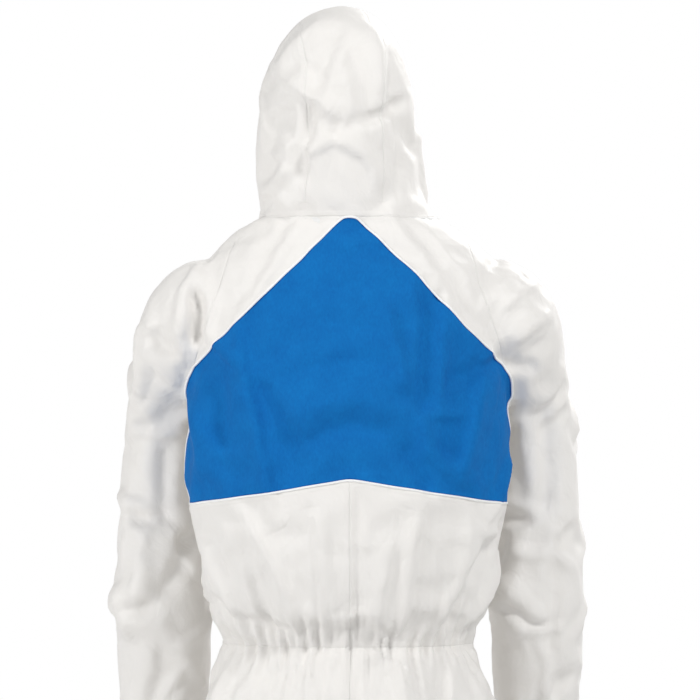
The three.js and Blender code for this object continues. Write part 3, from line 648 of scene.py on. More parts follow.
places = above_floor(read_vectors(suit.data.vertices, "co"))
facings = read_vectors(suit.data.vertex_normals, "vector")
raise_skin(suit, folds_on(places, facings) * 0.6 * beside_zip(places))

wearer = joined_form("wearer_form", (0.022, 0.015, 0.018, 0.010), 0.016, 8)
wearer.modifiers.new("solid", "COLLISION")
wearer.collision.thickness_outer = 0.003
wearer.collision.cloth_friction = 12.0
heights = places[:, 2]
rims = (heights < HEM_END + 0.03) | ((sleeve_side(places) > 0.0) & (heights < SLEEVE_END + 0.006))
rims |= np.array([face_reach(vert.co) < 1.2 for vert in fitted.data.vertices])
held = np.where(np.abs(heights - WAIST) < 0.008, 0.75, 0.30)
held = np.where(heights > 1.77, 0.6, held)
held = np.maximum(np.where(rims, 1.0, held), 1.0 - 0.8 * beside_zip(places))
cloth = suit.modifiers.new("drape", "CLOTH")
settings = cloth.settings
settings.quality = 4
settings.mass = 0.15
settings.air_damping = 2.0
settings.tension_stiffness = 25.0
settings.compression_stiffness = 25.0
settings.shear_stiffness = 8.0
settings.bending_stiffness = 14.0
settings.tension_damping = 12.0
settings.compression_damping = 12.0
settings.shear_damping = 8.0
settings.bending_damping = 0.8
settings.vertex_group_mass = share_group(suit, "held", held)
settings.shrink_min = -0.018
cloth.collision_settings.distance_min = 0.003
cloth.collision_settings.collision_quality = 1
cloth.point_cache.frame_start = 1
cloth.point_cache.frame_end = FALLING_FRAMES
for step in range(1, FALLING_FRAMES + 1):
    scene.frame_set(step)
bake_modifiers(suit)
scene.frame_set(1)
drop_object(wearer)
for skin in (suit, fitted):
    finer = skin.modifiers.new("finer", "SUBSURF")
    finer.levels = finer.render_levels = 1
    bake_modifiers(skin)

# Creases: the folds sharpen again, elastic pleats the rims, and fine broken facets cover it all.
places = above_floor(read_vectors(fitted.data.vertices, "co"))
facings = read_vectors(fitted.data.vertex_normals, "vector")
calm = beside_zip(places)
facets = np.array([
    noise.ridged_multi_fractal(Vector((x * 9.0, y * 9.0, z * 4.5)), 1.0, 2.2, 3, 0.9, 1.6)
    for x, y, z in places
])
slack = np.array([noise.noise(Vector((x * 7.0, y * 7.0, z * 3.0 + 5.0))) for x, y, z in places])
rise = folds_on(places, facings) + gathers_on(places)
in_body = np.where(places[:, 2] > NECK_SEAM, 0.45, 1.0)
rise += ((facets - facets.mean()) * 0.0018 + slack * 0.0035) * in_body
raise_skin(suit, rise * calm)

# ---------------------------------------------------------------------------------------------
# Cutting out.  Each seam is a line on the fitted skin, found where a distance changes sign, and
# the draped skin parts there.  The zones that bend at a joint part from the panels in the same
# way, without a seam showing, because one panel of the real suit runs through them.
# ---------------------------------------------------------------------------------------------
VENT_PEAK = 1.249
VENT_SLOPE = 0.1596
GUSSET = 0.030
STRIP_HALF = 0.046
FACE_HEM = 0.013


def leg_line(points):
    return 0.794 + 0.178 * np.abs(points[:, 0]) / 0.26


def hood_places(points):
    """Places in the hood's own directions."""
    x, y = points[:, 0] - 0.016, points[:, 1]
    across = x * math.cos(HOOD_TURN) + y * math.sin(HOOD_TURN)
    return across, y * math.cos(HOOD_TURN) - x * math.sin(HOOD_TURN), points[:, 2]


def hem_distance(points):
    """Metres past the face hem's inner edge."""
    across, along, height = hood_places(points)
    reach = np.hypot(across / FACE_HALF[0], (height - FACE_CENTRE) / FACE_HALF[1])
    return np.where(along < -0.03, (reach - 1.0) * 0.072 - FACE_HEM, 0.2)


def trunk(points):
    return (sleeve_side(points) < 0.0) & (points[:, 2] < 1.56)


def sleeved(points):
    return (sleeve_side(points) > 0.0) & (points[:, 2] > 0.80)


def legs_only(points):
    return ~sleeved(points) & (points[:, 2] < 1.0)


SEAMS = [  # name, distance from the line, where it is sewn, whether it is a seam or a zone's edge
    ("neck", lambda p: p[:, 2] - NECK_SEAM, lambda p: p[:, 2] > 1.53, True),
    ("armhole", sleeve_side, lambda p: (p[:, 2] > 1.20) & (p[:, 2] < 1.53), True),
    ("side", lambda p: p[:, 1] - 0.012, lambda p: trunk(p) | legs_only(p), True),
    ("vent_top", lambda p: 0.7071 * (np.abs(p[:, 0]) + p[:, 2] - 1.568),
     lambda p: trunk(p) & (p[:, 1] > 0.010) & (p[:, 2] > 1.36), True),
    ("vent_foot", lambda p: p[:, 2] - VENT_PEAK + VENT_SLOPE * np.abs(p[:, 0]),
     lambda p: trunk(p) & (p[:, 1] > 0.010) & (p[:, 2] > 1.18) & (p[:, 2] < 1.30), True),
    ("waist", lambda p: p[:, 2] - WAIST, trunk, True),
    ("back", lambda p: p[:, 0], lambda p: trunk(p) & (p[:, 1] > 0.0) & (p[:, 2] < 1.252)
     & (p[:, 2] > 0.80), True),
    ("front", lambda p: p[:, 0], lambda p: (p[:, 1] < 0.02) & (p[:, 2] < 0.872) & (p[:, 2] > 0.80), True),
    ("zip_edge", lambda p: np.abs(p[:, 0]) - 0.006,
     lambda p: (p[:, 1] < -0.05) & (p[:, 2] < 1.562) & (p[:, 2] > 0.86), False),
    ("zip_foot", lambda p: p[:, 2] - 0.866,
     lambda p: (p[:, 1] < -0.05) & (np.abs(p[:, 0]) < 0.012), False),
    ("inseam", lambda p: p[:, 0], lambda p: p[:, 2] < 0.80, True),
    ("gusset_side", lambda p: np.abs(p[:, 0]) - GUSSET,
     lambda p: (p[:, 2] > 0.80) & (p[:, 2] < 0.850) & (np.abs(p[:, 0]) < 0.05), True),
    ("gusset_top", lambda p: p[:, 2] - 0.8445, lambda p: np.abs(p[:, 0]) < 0.032, True),
    ("leg_line", lambda p: p[:, 2] - leg_line(p), legs_only, True),
    ("hip_foot", lambda p: p[:, 2] - leg_line(p) + 0.161, legs_only, False),
    ("knee_top", lambda p: p[:, 2] - 0.602, legs_only, False),
    ("knee_foot", lambda p: p[:, 2] - 0.398, legs_only, False),
    ("ankle", lambda p: p[:, 2] - 0.090, legs_only, True),
    ("shoulder_foot", lambda p: 0.7071 * (p[:, 2] - np.abs(p[:, 0]) - 1.060), sleeved, False),
    ("elbow_top", lambda p: p[:, 2] - 1.190, sleeved, False),
    ("elbow_foot", lambda p: p[:, 2] - 1.070, sleeved, False),
    ("cuff", lambda p: p[:, 2] - SLEEVE_END, sleeved, True),
    ("hood_foot", lambda p: p[:, 2] - 1.650, lambda p: p[:, 2] > 1.60, False),
    ("strip", lambda p: np.abs(hood_places(p)[0]) - STRIP_HALF, lambda p: p[:, 2] > 1.575, True),
    ("face_hem", hem_distance, lambda p: p[:, 2] > 1.56, True),
]


def cut_along(skin, distance, sewn):
    """Splits the skin's edges and faces along the line where a distance is 0."""
    skin.verts.index_update()
    skin.verts.ensure_lookup_table()
    points = above_floor(np.array([vert.co for vert in skin.verts]))
    values = distance(points)
    inside = sewn(points)
    count = len(points)
    on_line = {index for index in np.flatnonzero(inside & (np.abs(values) < 0.0003))}
    candidates = set(np.flatnonzero(inside & (np.abs(values) < 0.03)))
    edges = {edge for index in candidates for edge in skin.verts[index].link_edges}
    for edge in sorted(edges, key=lambda edge: (edge.verts[0].index, edge.verts[1].index)):
        first, last = edge.verts
        low, high = values[first.index], values[last.index]
        crossed = low * high < 0.0 and inside[first.index] and inside[last.index]
        if not crossed or abs(low - high) > 0.05 or {first.index, last.index} & on_line:
            continue
        share = abs(low) / (abs(low) + abs(high))
        made = bmesh.utils.edge_split(edge, first, share)[1]
        made.index = count
        on_line.add(count)
        count += 1
    skin.faces.index_update()
    lined = [vert for vert in skin.verts if vert.index in on_line]
    touched = {face for vert in lined for face in vert.link_faces}
    for face in sorted(touched, key=lambda face: face.index):
        found = [vert for vert in face.verts if vert.index in on_line]
        if len(found) == 2 and skin.edges.get(found) is None:
            bmesh.utils.face_split(face, found[0], found[1])


whole = bmesh.new()
whole.from_mesh(fitted.data)
draped = whole.verts.layers.float_vector.new("draped")
shading = whole.verts.layers.float_vector.new("shading")
whole.verts.ensure_lookup_table()
for vert, made in zip(whole.verts, suit.data.vertices):
    vert[draped] = made.co
    vert[shading] = made.normal
drop_object(suit)
drop_object(fitted)
for _, distance, sewn, _ in SEAMS:
    cut_along(whole, distance, sewn)


def panels_at(points):
    """The name of the panel that each place on the fitted skin belongs to."""
    height = points[:, 2]
    side = np.where(points[:, 0] > 0.0, "left", "right")
    back = points[:, 1] > 0.012
    line = leg_line(points)
    across = np.abs(points[:, 0])
    hood_across = hood_places(points)[0]
    on_sleeve = sleeved(points) & (height < 1.56)
    lower_vent = VENT_PEAK - VENT_SLOPE * across
    rules = [
        (hem_distance(points) < 0.0, "hood_face_hem", False),
        ((height > 1.650) & (np.abs(hood_across) < STRIP_HALF), "hood_centre_panel", False),
        ((height > 1.650) & (hood_across > 0.0), "hood_side_panel_left", False),
        (height > 1.650, "hood_side_panel_right", False),
        (height > NECK_SEAM, "hood_neck", False),
        (on_sleeve & (height < SLEEVE_END), "cuff_blank", True),
        (on_sleeve & (height < 1.070), "sleeve_forearm", True),
        (on_sleeve & (height < 1.190), "sleeve_elbow", True),
        (on_sleeve & (height < across + 1.060), "sleeve_upper", True),
        (on_sleeve, "sleeve_shoulder", True),
        ((across < 0.006) & (height > 0.866) & (points[:, 1] < -0.05), "zip_gap", False),
        (back & (height > lower_vent) & (across + height < 1.568), "back_vent_panel", False),
        (back & (height > 1.375), "back_shoulder", True),
        (back & (height > lower_vent), "back_vent_panel", False),
        (back & (height > WAIST), "back_waist", True),
        (height > WAIST, "front_chest", True),
        ((across < GUSSET) & (height < 0.8445) & (height > 0.79), "crotch_gusset", False),
        (back & (height > line), "seat", True),
        (height > line, "front_hips", True),
        (height > line - 0.161, "leg_hip", True),
        (back & (height > 0.602), "thigh_back", True),
        (height > 0.602, "thigh_front", True),
        (height > 0.398, "leg_knee", True),
        (back & (height > 0.090), "shin_back", True),
        (height > 0.090, "shin_front", True),
        (height > 0.0, "ankle_hem", True),
    ]
    names = np.full(len(points), "", dtype="<U40")
    for here, name, paired in rules:
        made = np.char.add(name + "_", side) if paired else np.full(len(points), name)
        names = np.where((names == "") & here, made, names)
    return names


def seam_distances(points):
    """How far each place is from the nearest sewn seam, in metres."""
    nearest = np.full(len(points), 0.05)
    for _, distance, sewn, visible in SEAMS:
        if visible:
            nearest = np.where(sewn(points), np.minimum(nearest, np.abs(distance(points))), nearest)
    return nearest


whole.faces.ensure_lookup_table()
centres = above_floor(np.array([face.calc_center_median() for face in whole.faces]))
panel_names = panels_at(centres)
panel_faces = {}
for face, name in zip(whole.faces, panel_names):
    panel_faces.setdefault(str(name), []).append(face)
# ---------------------------------------------------------------------------------------------
# Materials.  White microporous laminate with its fine bonded dots and the creases of packing, the
# blue breathable nonwoven of the back, rib knit, elastic, woven tape, zip metal and paper.
# ---------------------------------------------------------------------------------------------


class Reading:
    """A number in a shader.  Arithmetic with it adds the nodes that work it out."""

    def __init__(self, paint, socket):
        self.paint = paint
        self.socket = socket

    def worked(self, operation, *values):
        return self.paint.node("ShaderNodeMath", {"operation": operation}, dict(enumerate(values)))

    def __add__(self, other):
        return self.worked("ADD", self, other)

    def __radd__(self, other):
        return self.worked("ADD", other, self)

    def __sub__(self, other):
        return self.worked("SUBTRACT", self, other)

    def __rsub__(self, other):
        return self.worked("SUBTRACT", other, self)

    def __mul__(self, other):
        return self.worked("MULTIPLY", self, other)

    def __rmul__(self, other):
        return self.worked("MULTIPLY", other, self)

    def fading(self, start, end):
        """1 up to start, falling smoothly to 0 at end."""
        inputs = {"Value": self, "From Min": start, "From Max": end, "To Min": 1.0, "To Max": 0.0}
        return self.paint.node("ShaderNodeMapRange", {"interpolation_type": "SMOOTHSTEP"}, inputs)


class Paint:
    """A material under construction."""

    def __init__(self, name, roughness, sheen=0.0, metallic=0.0):
        self.material = bpy.data.materials.new(name)
        self.material.use_nodes = True
        self.surface = self.material.node_tree.nodes["Principled BSDF"]
        self.surface.inputs["Roughness"].default_value = roughness
        self.surface.inputs["Metallic"].default_value = metallic
        self.surface.inputs["Sheen Weight"].default_value = sheen
        self.place = self.node("ShaderNodeTexCoord", {}, {}, "Object")

    def node(self, kind, settings, inputs, output=0):
        made = self.material.node_tree.nodes.new(kind)
        for key, value in settings.items():
            setattr(made, key, value)
        for key, value in inputs.items():
            if isinstance(value, Reading):
                self.material.node_tree.links.new(value.socket, made.inputs[key])
            else:
                made.inputs[key].default_value = value
        return Reading(self, made.outputs[output])

    def stretched(self, x, y, z):
        inputs = {"Vector": self.place, "Scale": (x, y, z)}
        return self.node("ShaderNodeMapping", {}, inputs)

    def mottle(self, scale, detail=3.0, place=None, roughness=0.5):
        inputs = {"Vector": place or self.place, "Scale": scale, "Detail": detail, "Roughness": roughness}
        return self.node("ShaderNodeTexNoise", {}, inputs)

    def cells(self, scale, feature, randomness, place=None):
        inputs = {"Vector": place or self.place, "Scale": scale, "Randomness": randomness}
        return self.node("ShaderNodeTexVoronoi", {"feature": feature}, inputs)

    def attribute(self, name):
        return self.node("ShaderNodeAttribute", {"attribute_name": name}, {}, "Fac")

    def colour(self, share, first, second):
        inputs = {0: share, 6: (*first, 1.0), 7: (*second, 1.0)}
        return self.node("ShaderNodeMix", {"data_type": "RGBA"}, inputs, 2)

    def finish(self, colour, height=None, strength=1.0):
        """Sets the colour and the relief, which is in metres."""
        tree = self.material.node_tree
        if isinstance(colour, Reading):
            tree.links.new(colour.socket, self.surface.inputs["Base Color"])
        else:
            self.surface.inputs["Base Color"].default_value = (*colour, 1.0)
        if height is not None:
            inputs = {"Strength": strength, "Distance": 1.0, "Height": height}
            relief = self.node("ShaderNodeBump", {}, inputs)
            tree.links.new(relief.socket, self.surface.inputs["Normal"])
        return self.material


def sewn_relief(paint):
    """A lapped seam: a narrow groove with the seam allowance raised under the cloth beside it."""
    away = paint.attribute("seam")
    return 0.00035 * away.fading(0.0045, 0.0075) - 0.0008 * away.fading(0.0, 0.0018)


def crumple(paint, size):
    """Broken facets, as in paper that has been folded and shaken out."""
    warp = paint.node("ShaderNodeTexNoise", {}, {"Vector": paint.place, "Scale": 9.0}, "Color")
    offset = paint.node(
        "ShaderNodeVectorMath",
        {"operation": "MULTIPLY_ADD"},
        {0: warp, 1: (0.16, 0.16, 0.16), 2: paint.stretched(1.0, 1.0, 0.6)},
    )
    wide = paint.cells(13.0, "DISTANCE_TO_EDGE", 1.0, offset)
    fine = paint.cells(34.0, "DISTANCE_TO_EDGE", 1.0, offset)
    return size * (wide.fading(0.0, 0.30) * -1.0 + fine.fading(0.0, 0.24) * -0.35)


laminate = Paint("white_laminate", 0.58, sheen=0.08)
dots = laminate.cells(620.0, "F1", 0.12).fading(0.0, 0.5)
tint = laminate.mottle(7.0, 4.0)
laminate_shade = laminate.colour(tint, (0.785, 0.765, 0.735), (0.830, 0.812, 0.788))
laminate_height = crumple(laminate, 0.0011) + sewn_relief(laminate) + dots * 0.00006
laminate_height = laminate_height + laminate.mottle(95.0, 4.0) * 0.0007
white = laminate.finish(laminate_shade, laminate_height, 0.75)

nonwoven = Paint("blue_nonwoven", 0.85)
nonwoven.surface.inputs["Specular IOR Level"].default_value = 0.15
fibres = nonwoven.mottle(420.0, 4.0, nonwoven.stretched(1.0, 0.6, 0.45), 0.7)
patches = nonwoven.mottle(32.0, 3.0)
# Painted shadow: the blue is darkened within 3 mm of its seams, beside the piping bead; the fibres and
# patches are the cloth's own uneven tone.
edge = nonwoven.attribute("seam").fading(0.0012, 0.0030)
blue_tone_and_seam_shadow = fibres * 0.75 + patches * 0.5 - edge * 0.9
blue_colour = nonwoven.colour(blue_tone_and_seam_shadow, (0.001, 0.080, 0.320), (0.004, 0.180, 0.520))
blue_height = crumple(nonwoven, 0.0009) + fibres * 0.00022 + sewn_relief(nonwoven) * 0.5
blue = nonwoven.finish(blue_colour, blue_height, 0.8)

knit = Paint("knit", 0.85, sheen=0.35)
loops = knit.cells(900.0, "F1", 0.25, knit.stretched(1.0, 1.0, 0.7)).fading(0.0, 0.6)
yarn_colour = knit.colour(knit.mottle(60.0), (0.72, 0.715, 0.70), (0.80, 0.795, 0.78))
ribbed = knit.finish(yarn_colour, loops * 0.0002)

webbing = Paint("woven", 0.8, sheen=0.2)
threads = webbing.node(
    "ShaderNodeTexWave",
    {"bands_direction": "Z"},
    {"Vector": webbing.place, "Scale": 190.0, "Distortion": 0.6},
)
woven = webbing.finish(webbing.colour(threads, (0.74, 0.74, 0.73), (0.83, 0.83, 0.82)), threads * 0.00012)

binding = Paint("seam_binding", 0.5, sheen=0.1)
bright = binding.finish(binding.colour(binding.mottle(120.0), (0.86, 0.86, 0.86), (0.92, 0.92, 0.92)))

paper = Paint("release_paper", 0.35)
waxed = paper.finish(paper.colour(paper.mottle(40.0), (0.80, 0.78, 0.70), (0.86, 0.85, 0.79)))

satin = Paint("label", 0.4, sheen=0.2)
labelled = satin.finish(satin.colour(satin.mottle(300.0), (0.83, 0.83, 0.83), (0.88, 0.88, 0.88)))

nylon = Paint("zip_coil", 0.38)
moulded = nylon.finish(nylon.colour(nylon.mottle(200.0), (0.78, 0.78, 0.77), (0.84, 0.84, 0.83)))

plated = Paint("zip_metal", 0.30, metallic=0.9)
brushed = plated.mottle(700.0, 2.0, plated.stretched(1.0, 1.0, 0.08))
metal = plated.finish(plated.colour(brushed, (0.52, 0.53, 0.54), (0.68, 0.69, 0.70)), brushed * 0.00003)

# ---------------------------------------------------------------------------------------------
# The cut pieces.  Each panel of the real suit is one flat cut of cloth sewn to its neighbours, and
# where a panel crosses a shoulder, elbow, hip, knee or the neck its bending stretch is a piece of
# its own, attached to neither side of the joint.
# ---------------------------------------------------------------------------------------------
CLOTH_THICKNESS = 0.0005
CUT_FILL = 0.85                     # the share of its rectangle that a cut fills


def place_piece(name, mesh, paint, nodes, body=None):
    """A mesh becomes a finished piece that stands for its CAD nodes."""
    piece = bpy.data.objects.new(name, mesh)
    scene.collection.objects.link(piece)
    mesh.materials.clear()
    mesh.materials.append(paint)
    mesh.shade_smooth()
    if nodes:
        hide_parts(*nodes)
    if body:
        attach(piece, body)
    return piece


def thicken(piece, thickness):
    """Gives a sheet its thickness, inwards from the outside of the cloth."""
    solid = piece.modifiers.new("thickness", "SOLIDIFY")
    solid.thickness = thickness
    solid.offset = -1.0
    bake_modifiers(piece)


def sew_panel(name, paint, body=None):
    """One panel cut from the skin, in its draped shape; its flat size is worked out but not kept."""
    found = panel_faces[name]
    verts = sorted({vert for face in found for vert in face.verts}, key=lambda vert: vert.index)
    numbers = {vert: number for number, vert in enumerate(verts)}
    panel = bmesh.new()
    made = [panel.verts.new(vert[draped]) for vert in verts]
    for face in found:
        panel.faces.new([made[numbers[vert]] for vert in face.verts])
    mesh = bpy.data.meshes.new(f"{name}_cloth")
    panel.to_mesh(mesh)
    panel.free()
    points = above_floor(np.array([vert.co for vert in verts]))
    seam = mesh.attributes.new("seam", "FLOAT", "POINT")
    seam.data.foreach_set("value", seam_distances(points).astype(np.float32))
    piece = place_piece(f"{name}_cloth", mesh, paint, [name])
    thicken(piece, CLOTH_THICKNESS)
    normals = np.array([vert[shading].normalized() for vert in verts])
    piece.data.normals_split_custom_set_from_vertices(np.concatenate((normals, -normals)))
    if body:
        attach(piece, body)
    area = sum(face.calc_area() for face in found)
    length = float(np.ptp(points[:, 2]))
    if name == "crotch_gusset":
        length = 0.085
    area / (length * CUT_FILL)
    return piece


whole.verts.index_update()
sew_panel("back_vent_panel", blue, "root")
for name in ("hood_centre_panel", "hood_side_panel_left", "hood_side_panel_right"):
    sew_panel(name, white, "hood")
sew_panel("hood_face_hem", white, "hood")
neck = sew_panel("hood_neck", white)
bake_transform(neck)
sew_panel("crotch_gusset", white, "root")
for side, sign in (("left", 1.0), ("right", -1.0)):
    arm, fore = f"upper_arm_{side}", f"forearm_{side}"
    thigh, shin = f"thigh_{side}", f"shin_{side}"
    for part, held in (("back_shoulder", "hung"), ("front_chest", "hung"), ("back_waist", "gathered")):
        sew_panel(f"{part}_{side}", white, "root")
    for part in ("seat", "front_hips"):
        sew_panel(f"{part}_{side}", white, "root")
    bent = sew_panel(f"sleeve_shoulder_{side}", white)
    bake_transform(bent)
    sew_panel(f"sleeve_upper_{side}", white, arm)
    bent = sew_panel(f"sleeve_elbow_{side}", white)
    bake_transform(bent)
    sew_panel(f"sleeve_forearm_{side}", white, fore)
    bent = sew_panel(f"leg_hip_{side}", white)
    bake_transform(bent)
    for part in ("thigh_front", "thigh_back"):
        sew_panel(f"{part}_{side}", white, thigh)
    bent = sew_panel(f"leg_knee_{side}", white)
    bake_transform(bent)
    for part in ("shin_front", "shin_back"):
        sew_panel(f"{part}_{side}", white, shin)
    sew_panel(f"ankle_hem_{side}", white, shin)

# ---------------------------------------------------------------------------------------------
# Piping of the back panel.  A bright white binding is folded over the seam all round the blue
# cloth, and stands up from it as a thin bead.
# ---------------------------------------------------------------------------------------------


def ribbon_mesh(name, path, normals, half_width, half_height, closed=False, bulge=0.0):
    """A strip that follows a path, flat against the cloth: wide across, thin along the normals."""
    path = [Vector(point) for point in path]
    last = len(path) - 1
    section = [(-1.0, 0.0), (-0.86, 0.8), (0.0, 1.0 + bulge), (0.86, 0.8), (1.0, 0.0)]
    section += [(0.86, -0.8), (0.0, -1.0), (-0.86, -0.8)]
    strip = bmesh.new()
    rings = []
    for index, point in enumerate(path):
        before = path[index - 1] if index or closed else path[0]
        after = path[(index + 1) % len(path)] if index < last or closed else path[last]
        normal = Vector(normals[index]).normalized()
        across = (after - before).cross(normal).normalized()
        rings.append([
            strip.verts.new(point + across * half_width * wide + normal * half_height * high)
            for wide, high in section
        ])
    pairs = list(zip(rings, rings[1:] + rings[:1])) if closed else list(zip(rings, rings[1:]))
    for low, high in pairs:
        for corner in range(len(section)):
            beyond = (corner + 1) % len(section)
            strip.faces.new((low[corner], low[beyond], high[beyond], high[corner]))
    if not closed:
        strip.faces.new(rings[0])
        strip.faces.new(rings[-1])
    bmesh.ops.recalc_face_normals(strip, faces=strip.faces)
    mesh = bpy.data.meshes.new(name)
    strip.to_mesh(mesh)
    strip.free()
    return mesh


vent = set(panel_faces["back_vent_panel"])
rim = {}
for edge in whole.edges:
    if sum(face in vent for face in edge.link_faces) == 1 and len(edge.link_faces) == 2:
        for vert in edge.verts:
            rim.setdefault(vert, []).append(edge.other_vert(vert))
walk = [max(rim, key=lambda vert: (vert.co.z, vert.co.x))]
while True:
    onward = [vert for vert in rim[walk[-1]] if len(walk) < 2 or vert != walk[-2]]
    if onward[0] == walk[0] or len(walk) > len(rim):
        break
    walk.append(onward[0])
beads = np.array([vert[draped] + vert[shading] * 0.0004 for vert in walk])
for _ in range(3):
    beads = beads * 0.5 + (np.roll(beads, 1, axis=0) + np.roll(beads, -1, axis=0)) * 0.25
outward = [vert[shading] for vert in walk]
mesh = ribbon_mesh("vent_piping", beads, outward, 0.0014, 0.0010, closed=True)
place_piece("vent_piping", mesh, bright, [], "root")

# ---------------------------------------------------------------------------------------------
# Bands sewn inside.  Elastic draws in the waist, a tape covers the neck seam, and both stop short
# of the zip.  A folded satin size label hangs from the back of the neck.
# ---------------------------------------------------------------------------------------------


def band_round(name, node, height, inset, half_width, paint):
    half, front, back = (float(value) for value in rings_at(BODY, height))
    path = []
    normals = []
    for degrees in range(-75, 256, 3):
        angle = math.radians(degrees)
        wave = 0.0007 * math.sin(angle * 40.0)
        y = (front + back) / 2 + ((back - front) / 2 - inset + wave) * math.sin(angle)
        narrowing = 1.0 - 0.28 * ramp((0.055 - y) / 0.185)
        across = math.copysign(abs(math.cos(angle)) ** 0.85, math.cos(angle))
        path.append((((half * narrowing) - inset + wave) * across, y, height + FLOOR))
        normals.append((math.cos(angle), math.sin(angle), 0.0))
    mesh = ribbon_mesh(name, path, normals, half_width, 0.0005)
    piece = place_piece(name, mesh, paint, [node], "root")


band_round(
    "waist_band", "waist_elastic", WAIST, 0.0115, 0.006, woven
)
band_round(
    "neck_tape", "neck_seam_tape", 1.553, 0.006, 0.005, woven
)

label_path = [
    (0.0, 0.074 - 0.004 * math.sin(step / 12 * 2.4), 1.5455 - step / 12 * 0.049 + FLOOR)
    for step in range(13)
]
mesh = ribbon_mesh("size_label_satin", label_path, [(0.0, -1.0, 0.0)] * 13, 0.021, 0.00025)
label = place_piece("size_label_satin", mesh, labelled, ["size_label"], "root")

# ---------------------------------------------------------------------------------------------
# Rib-knit cuffs.  A tube of knitted rib is sewn into the end of each sleeve.
# ---------------------------------------------------------------------------------------------
KNIT_THICKNESS = 0.0011
CUFF_FLAT = 0.072
RIBS = 44


def cuff_mesh(side):
    at = through(SLEEVE)

    def place(angle, along):
        rib = 0.0006 * math.cos(RIBS * angle) + 0.0010 * math.sin(3.0 * angle + 9.0 * along)
        return limb_point(at, side, 0.0018 - rib, angle, 1.0 - 0.182 * along)

    mesh = barrel(RIBS * 5, 22, place)
    tube = bmesh.new()
    tube.from_mesh(mesh)
    caps = [face for face in tube.faces if len(face.verts) > 4]
    bmesh.ops.delete(tube, geom=caps, context="FACES_ONLY")
    bmesh.ops.recalc_face_normals(tube, faces=tube.faces)
    tube.to_mesh(mesh)
    area = sum(face.calc_area() for face in tube.faces)
    tube.free()
    return mesh, area


for side, sign in (("left", 1.0), ("right", -1.0)):
    mesh, area = cuff_mesh(sign)
    cuff = place_piece(f"knit_cuff_{side}_rib", mesh, ribbed, [f"knit_cuff_{side}"])
    thicken(cuff, KNIT_THICKNESS)
    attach(cuff, f"forearm_{side}")
    flat = (area / CUFF_FLAT, CUFF_FLAT)

# ---------------------------------------------------------------------------------------------
# Zip.  Two woven tapes carry the coil, whose loops mesh along the middle.  The two sliders, their
# pulls and the stops keep the forms that they were designed with.
# ---------------------------------------------------------------------------------------------
ZIP_FOOT = (-0.132, 0.868)
ZIP_LEAN = math.atan2(0.020, 0.660)
ZIP_LENGTH = 0.660
COIL_PITCH = 0.0015


def on_zip(x, depth, along):
    """A place on the leaning front: across, behind the cloth's outside, and up from the foot."""
    return Vector((
        x,
        ZIP_FOOT[0] + depth * math.cos(ZIP_LEAN) + along * math.sin(ZIP_LEAN),
        ZIP_FOOT[1] + along * math.cos(ZIP_LEAN) - depth * math.sin(ZIP_LEAN) + FLOOR,
    ))


FORWARD = on_zip(0.0, -1.0, 0.0) - on_zip(0.0, 0.0, 0.0)


def along_zip(name, x, depth, start, end, half_width, half_height):
    steps = 45
    path = [on_zip(x, depth, start + (end - start) * step / steps) for step in range(steps + 1)]
    return ribbon_mesh(name, path, [FORWARD] * (steps + 1), half_width, half_height)


for side, sign in (("left", 1.0), ("right", -1.0)):
    name = f"zip_tape_{side}"
    mesh = along_zip(name, sign * 0.01075, 0.0054, 0.0, ZIP_LENGTH, 0.0075, 0.0004)
    tape = place_piece(f"{name}_woven", mesh, woven, [name], "root")
    coil = bmesh.new()
    turn = Matrix.Rotation(-ZIP_LEAN, 4, "X")
    for loop in range(int((ZIP_LENGTH - 0.008) / COIL_PITCH)):
        along = 0.004 + COIL_PITCH * (loop + 0.25 + 0.25 * sign)
        for depth, size in ((0.0027, 0.0008), (0.0042, 0.0008)):
            middle = Matrix.Translation(on_zip(sign * 0.0013, depth, along))
            scale = Matrix.Diagonal((0.0030, size, 0.00062, 1.0))
            bmesh.ops.create_cube(coil, size=1.0, matrix=middle @ turn @ scale)
        middle = Matrix.Translation(on_zip(sign * 0.0001, 0.00345, along))
        scale = Matrix.Diagonal((0.0006, 0.0022, 0.00062, 1.0))
        bmesh.ops.create_cube(coil, size=1.0, matrix=middle @ turn @ scale)
    mesh = bpy.data.meshes.new(f"zip_coil_{side}_loops")
    coil.to_mesh(mesh)
    coil.free()
    place_piece(f"zip_coil_{side}_loops", mesh, moulded, [f"zip_coil_{side}"], "root")

for name in ("zip_slider_upper", "zip_slider_lower", "zip_pull_upper", "zip_pull_lower", "zip_bottom_stop"):
    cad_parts[name].data.materials.clear()
    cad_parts[name].data.materials.append(metal)
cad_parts["zip_top_stop"].data.materials.clear()
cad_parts["zip_top_stop"].data.materials.append(moulded)

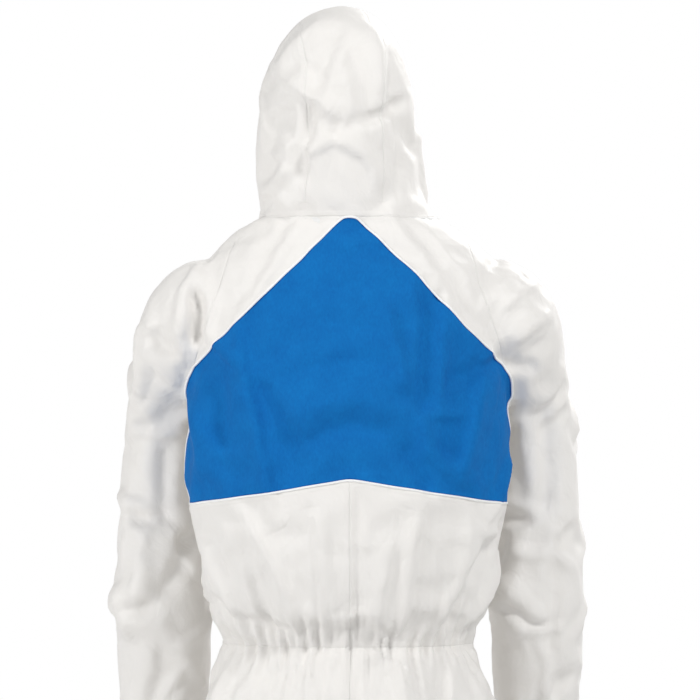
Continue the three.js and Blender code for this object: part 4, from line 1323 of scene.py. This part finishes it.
# ---------------------------------------------------------------------------------------------
# Storm flap.  A strip of the white laminate is sewn down one side of the zip, arches over the
# pulls and closes on the other side with an adhesive strip under its release paper.
# ---------------------------------------------------------------------------------------------
FLAP_SEWN = -0.024
FLAP_FREE = 0.026
FLAP_START = 0.034
FLAP_END = 0.602
FLAP_COLUMNS = 20
FLAP_ROWS = 142


def flap_rise(x):
    return 0.0012 + 0.006 * (1.0 - ramp((abs(x) - 0.008) / 0.007))


sheet = bmesh.new()
bmesh.ops.create_grid(sheet, x_segments=FLAP_COLUMNS, y_segments=FLAP_ROWS, size=0.5)
for vert in sheet.verts:
    x = FLAP_SEWN + (FLAP_FREE - FLAP_SEWN) * (vert.co.x + 0.5)
    along = FLAP_START + (FLAP_END - FLAP_START) * (vert.co.y + 0.5)
    free = ramp((x - FLAP_SEWN) / 0.03)
    wave = 0.0011 * math.sin(along * 52.0) + 0.0007 * math.sin(along * 131.0 + x * 60.0)
    vert.co = on_zip(x, -flap_rise(x) - 0.0005 - free * (0.0012 + wave), along)
bmesh.ops.recalc_face_normals(sheet, faces=sheet.faces)
if sum(face.normal.y for face in sheet.faces) > 0.0:
    bmesh.ops.reverse_faces(sheet, faces=sheet.faces)
mesh = bpy.data.meshes.new("storm_flap_cloth")
sheet.to_mesh(mesh)
flap_area = sum(face.calc_area() for face in sheet.faces)
sheet.free()
seam = mesh.attributes.new("seam", "FLOAT", "POINT")
edges = [min(vert.co.x - FLAP_SEWN, FLAP_FREE - vert.co.x) for vert in mesh.vertices]
seam.data.foreach_set("value", [abs(edge - 0.003) + 0.0006 for edge in edges])
flap = place_piece("storm_flap_cloth", mesh, white, ["storm_flap"])
thicken(flap, 0.0006)
flap_area / (FLAP_END - FLAP_START)
on_zip(FLAP_SEWN - 0.0005, 0.0, 0.3)
on_zip(FLAP_SEWN + 0.007, 0.0, 0.3)
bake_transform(flap)
mesh = along_zip("adhesive_strip_paper", 0.021, -0.0013, FLAP_START + 0.002, FLAP_END - 0.002, 0.004, 0.0003)
place_piece("adhesive_strip_paper", mesh, waxed, ["flap_adhesive_strip"], "flap")

whole.free()
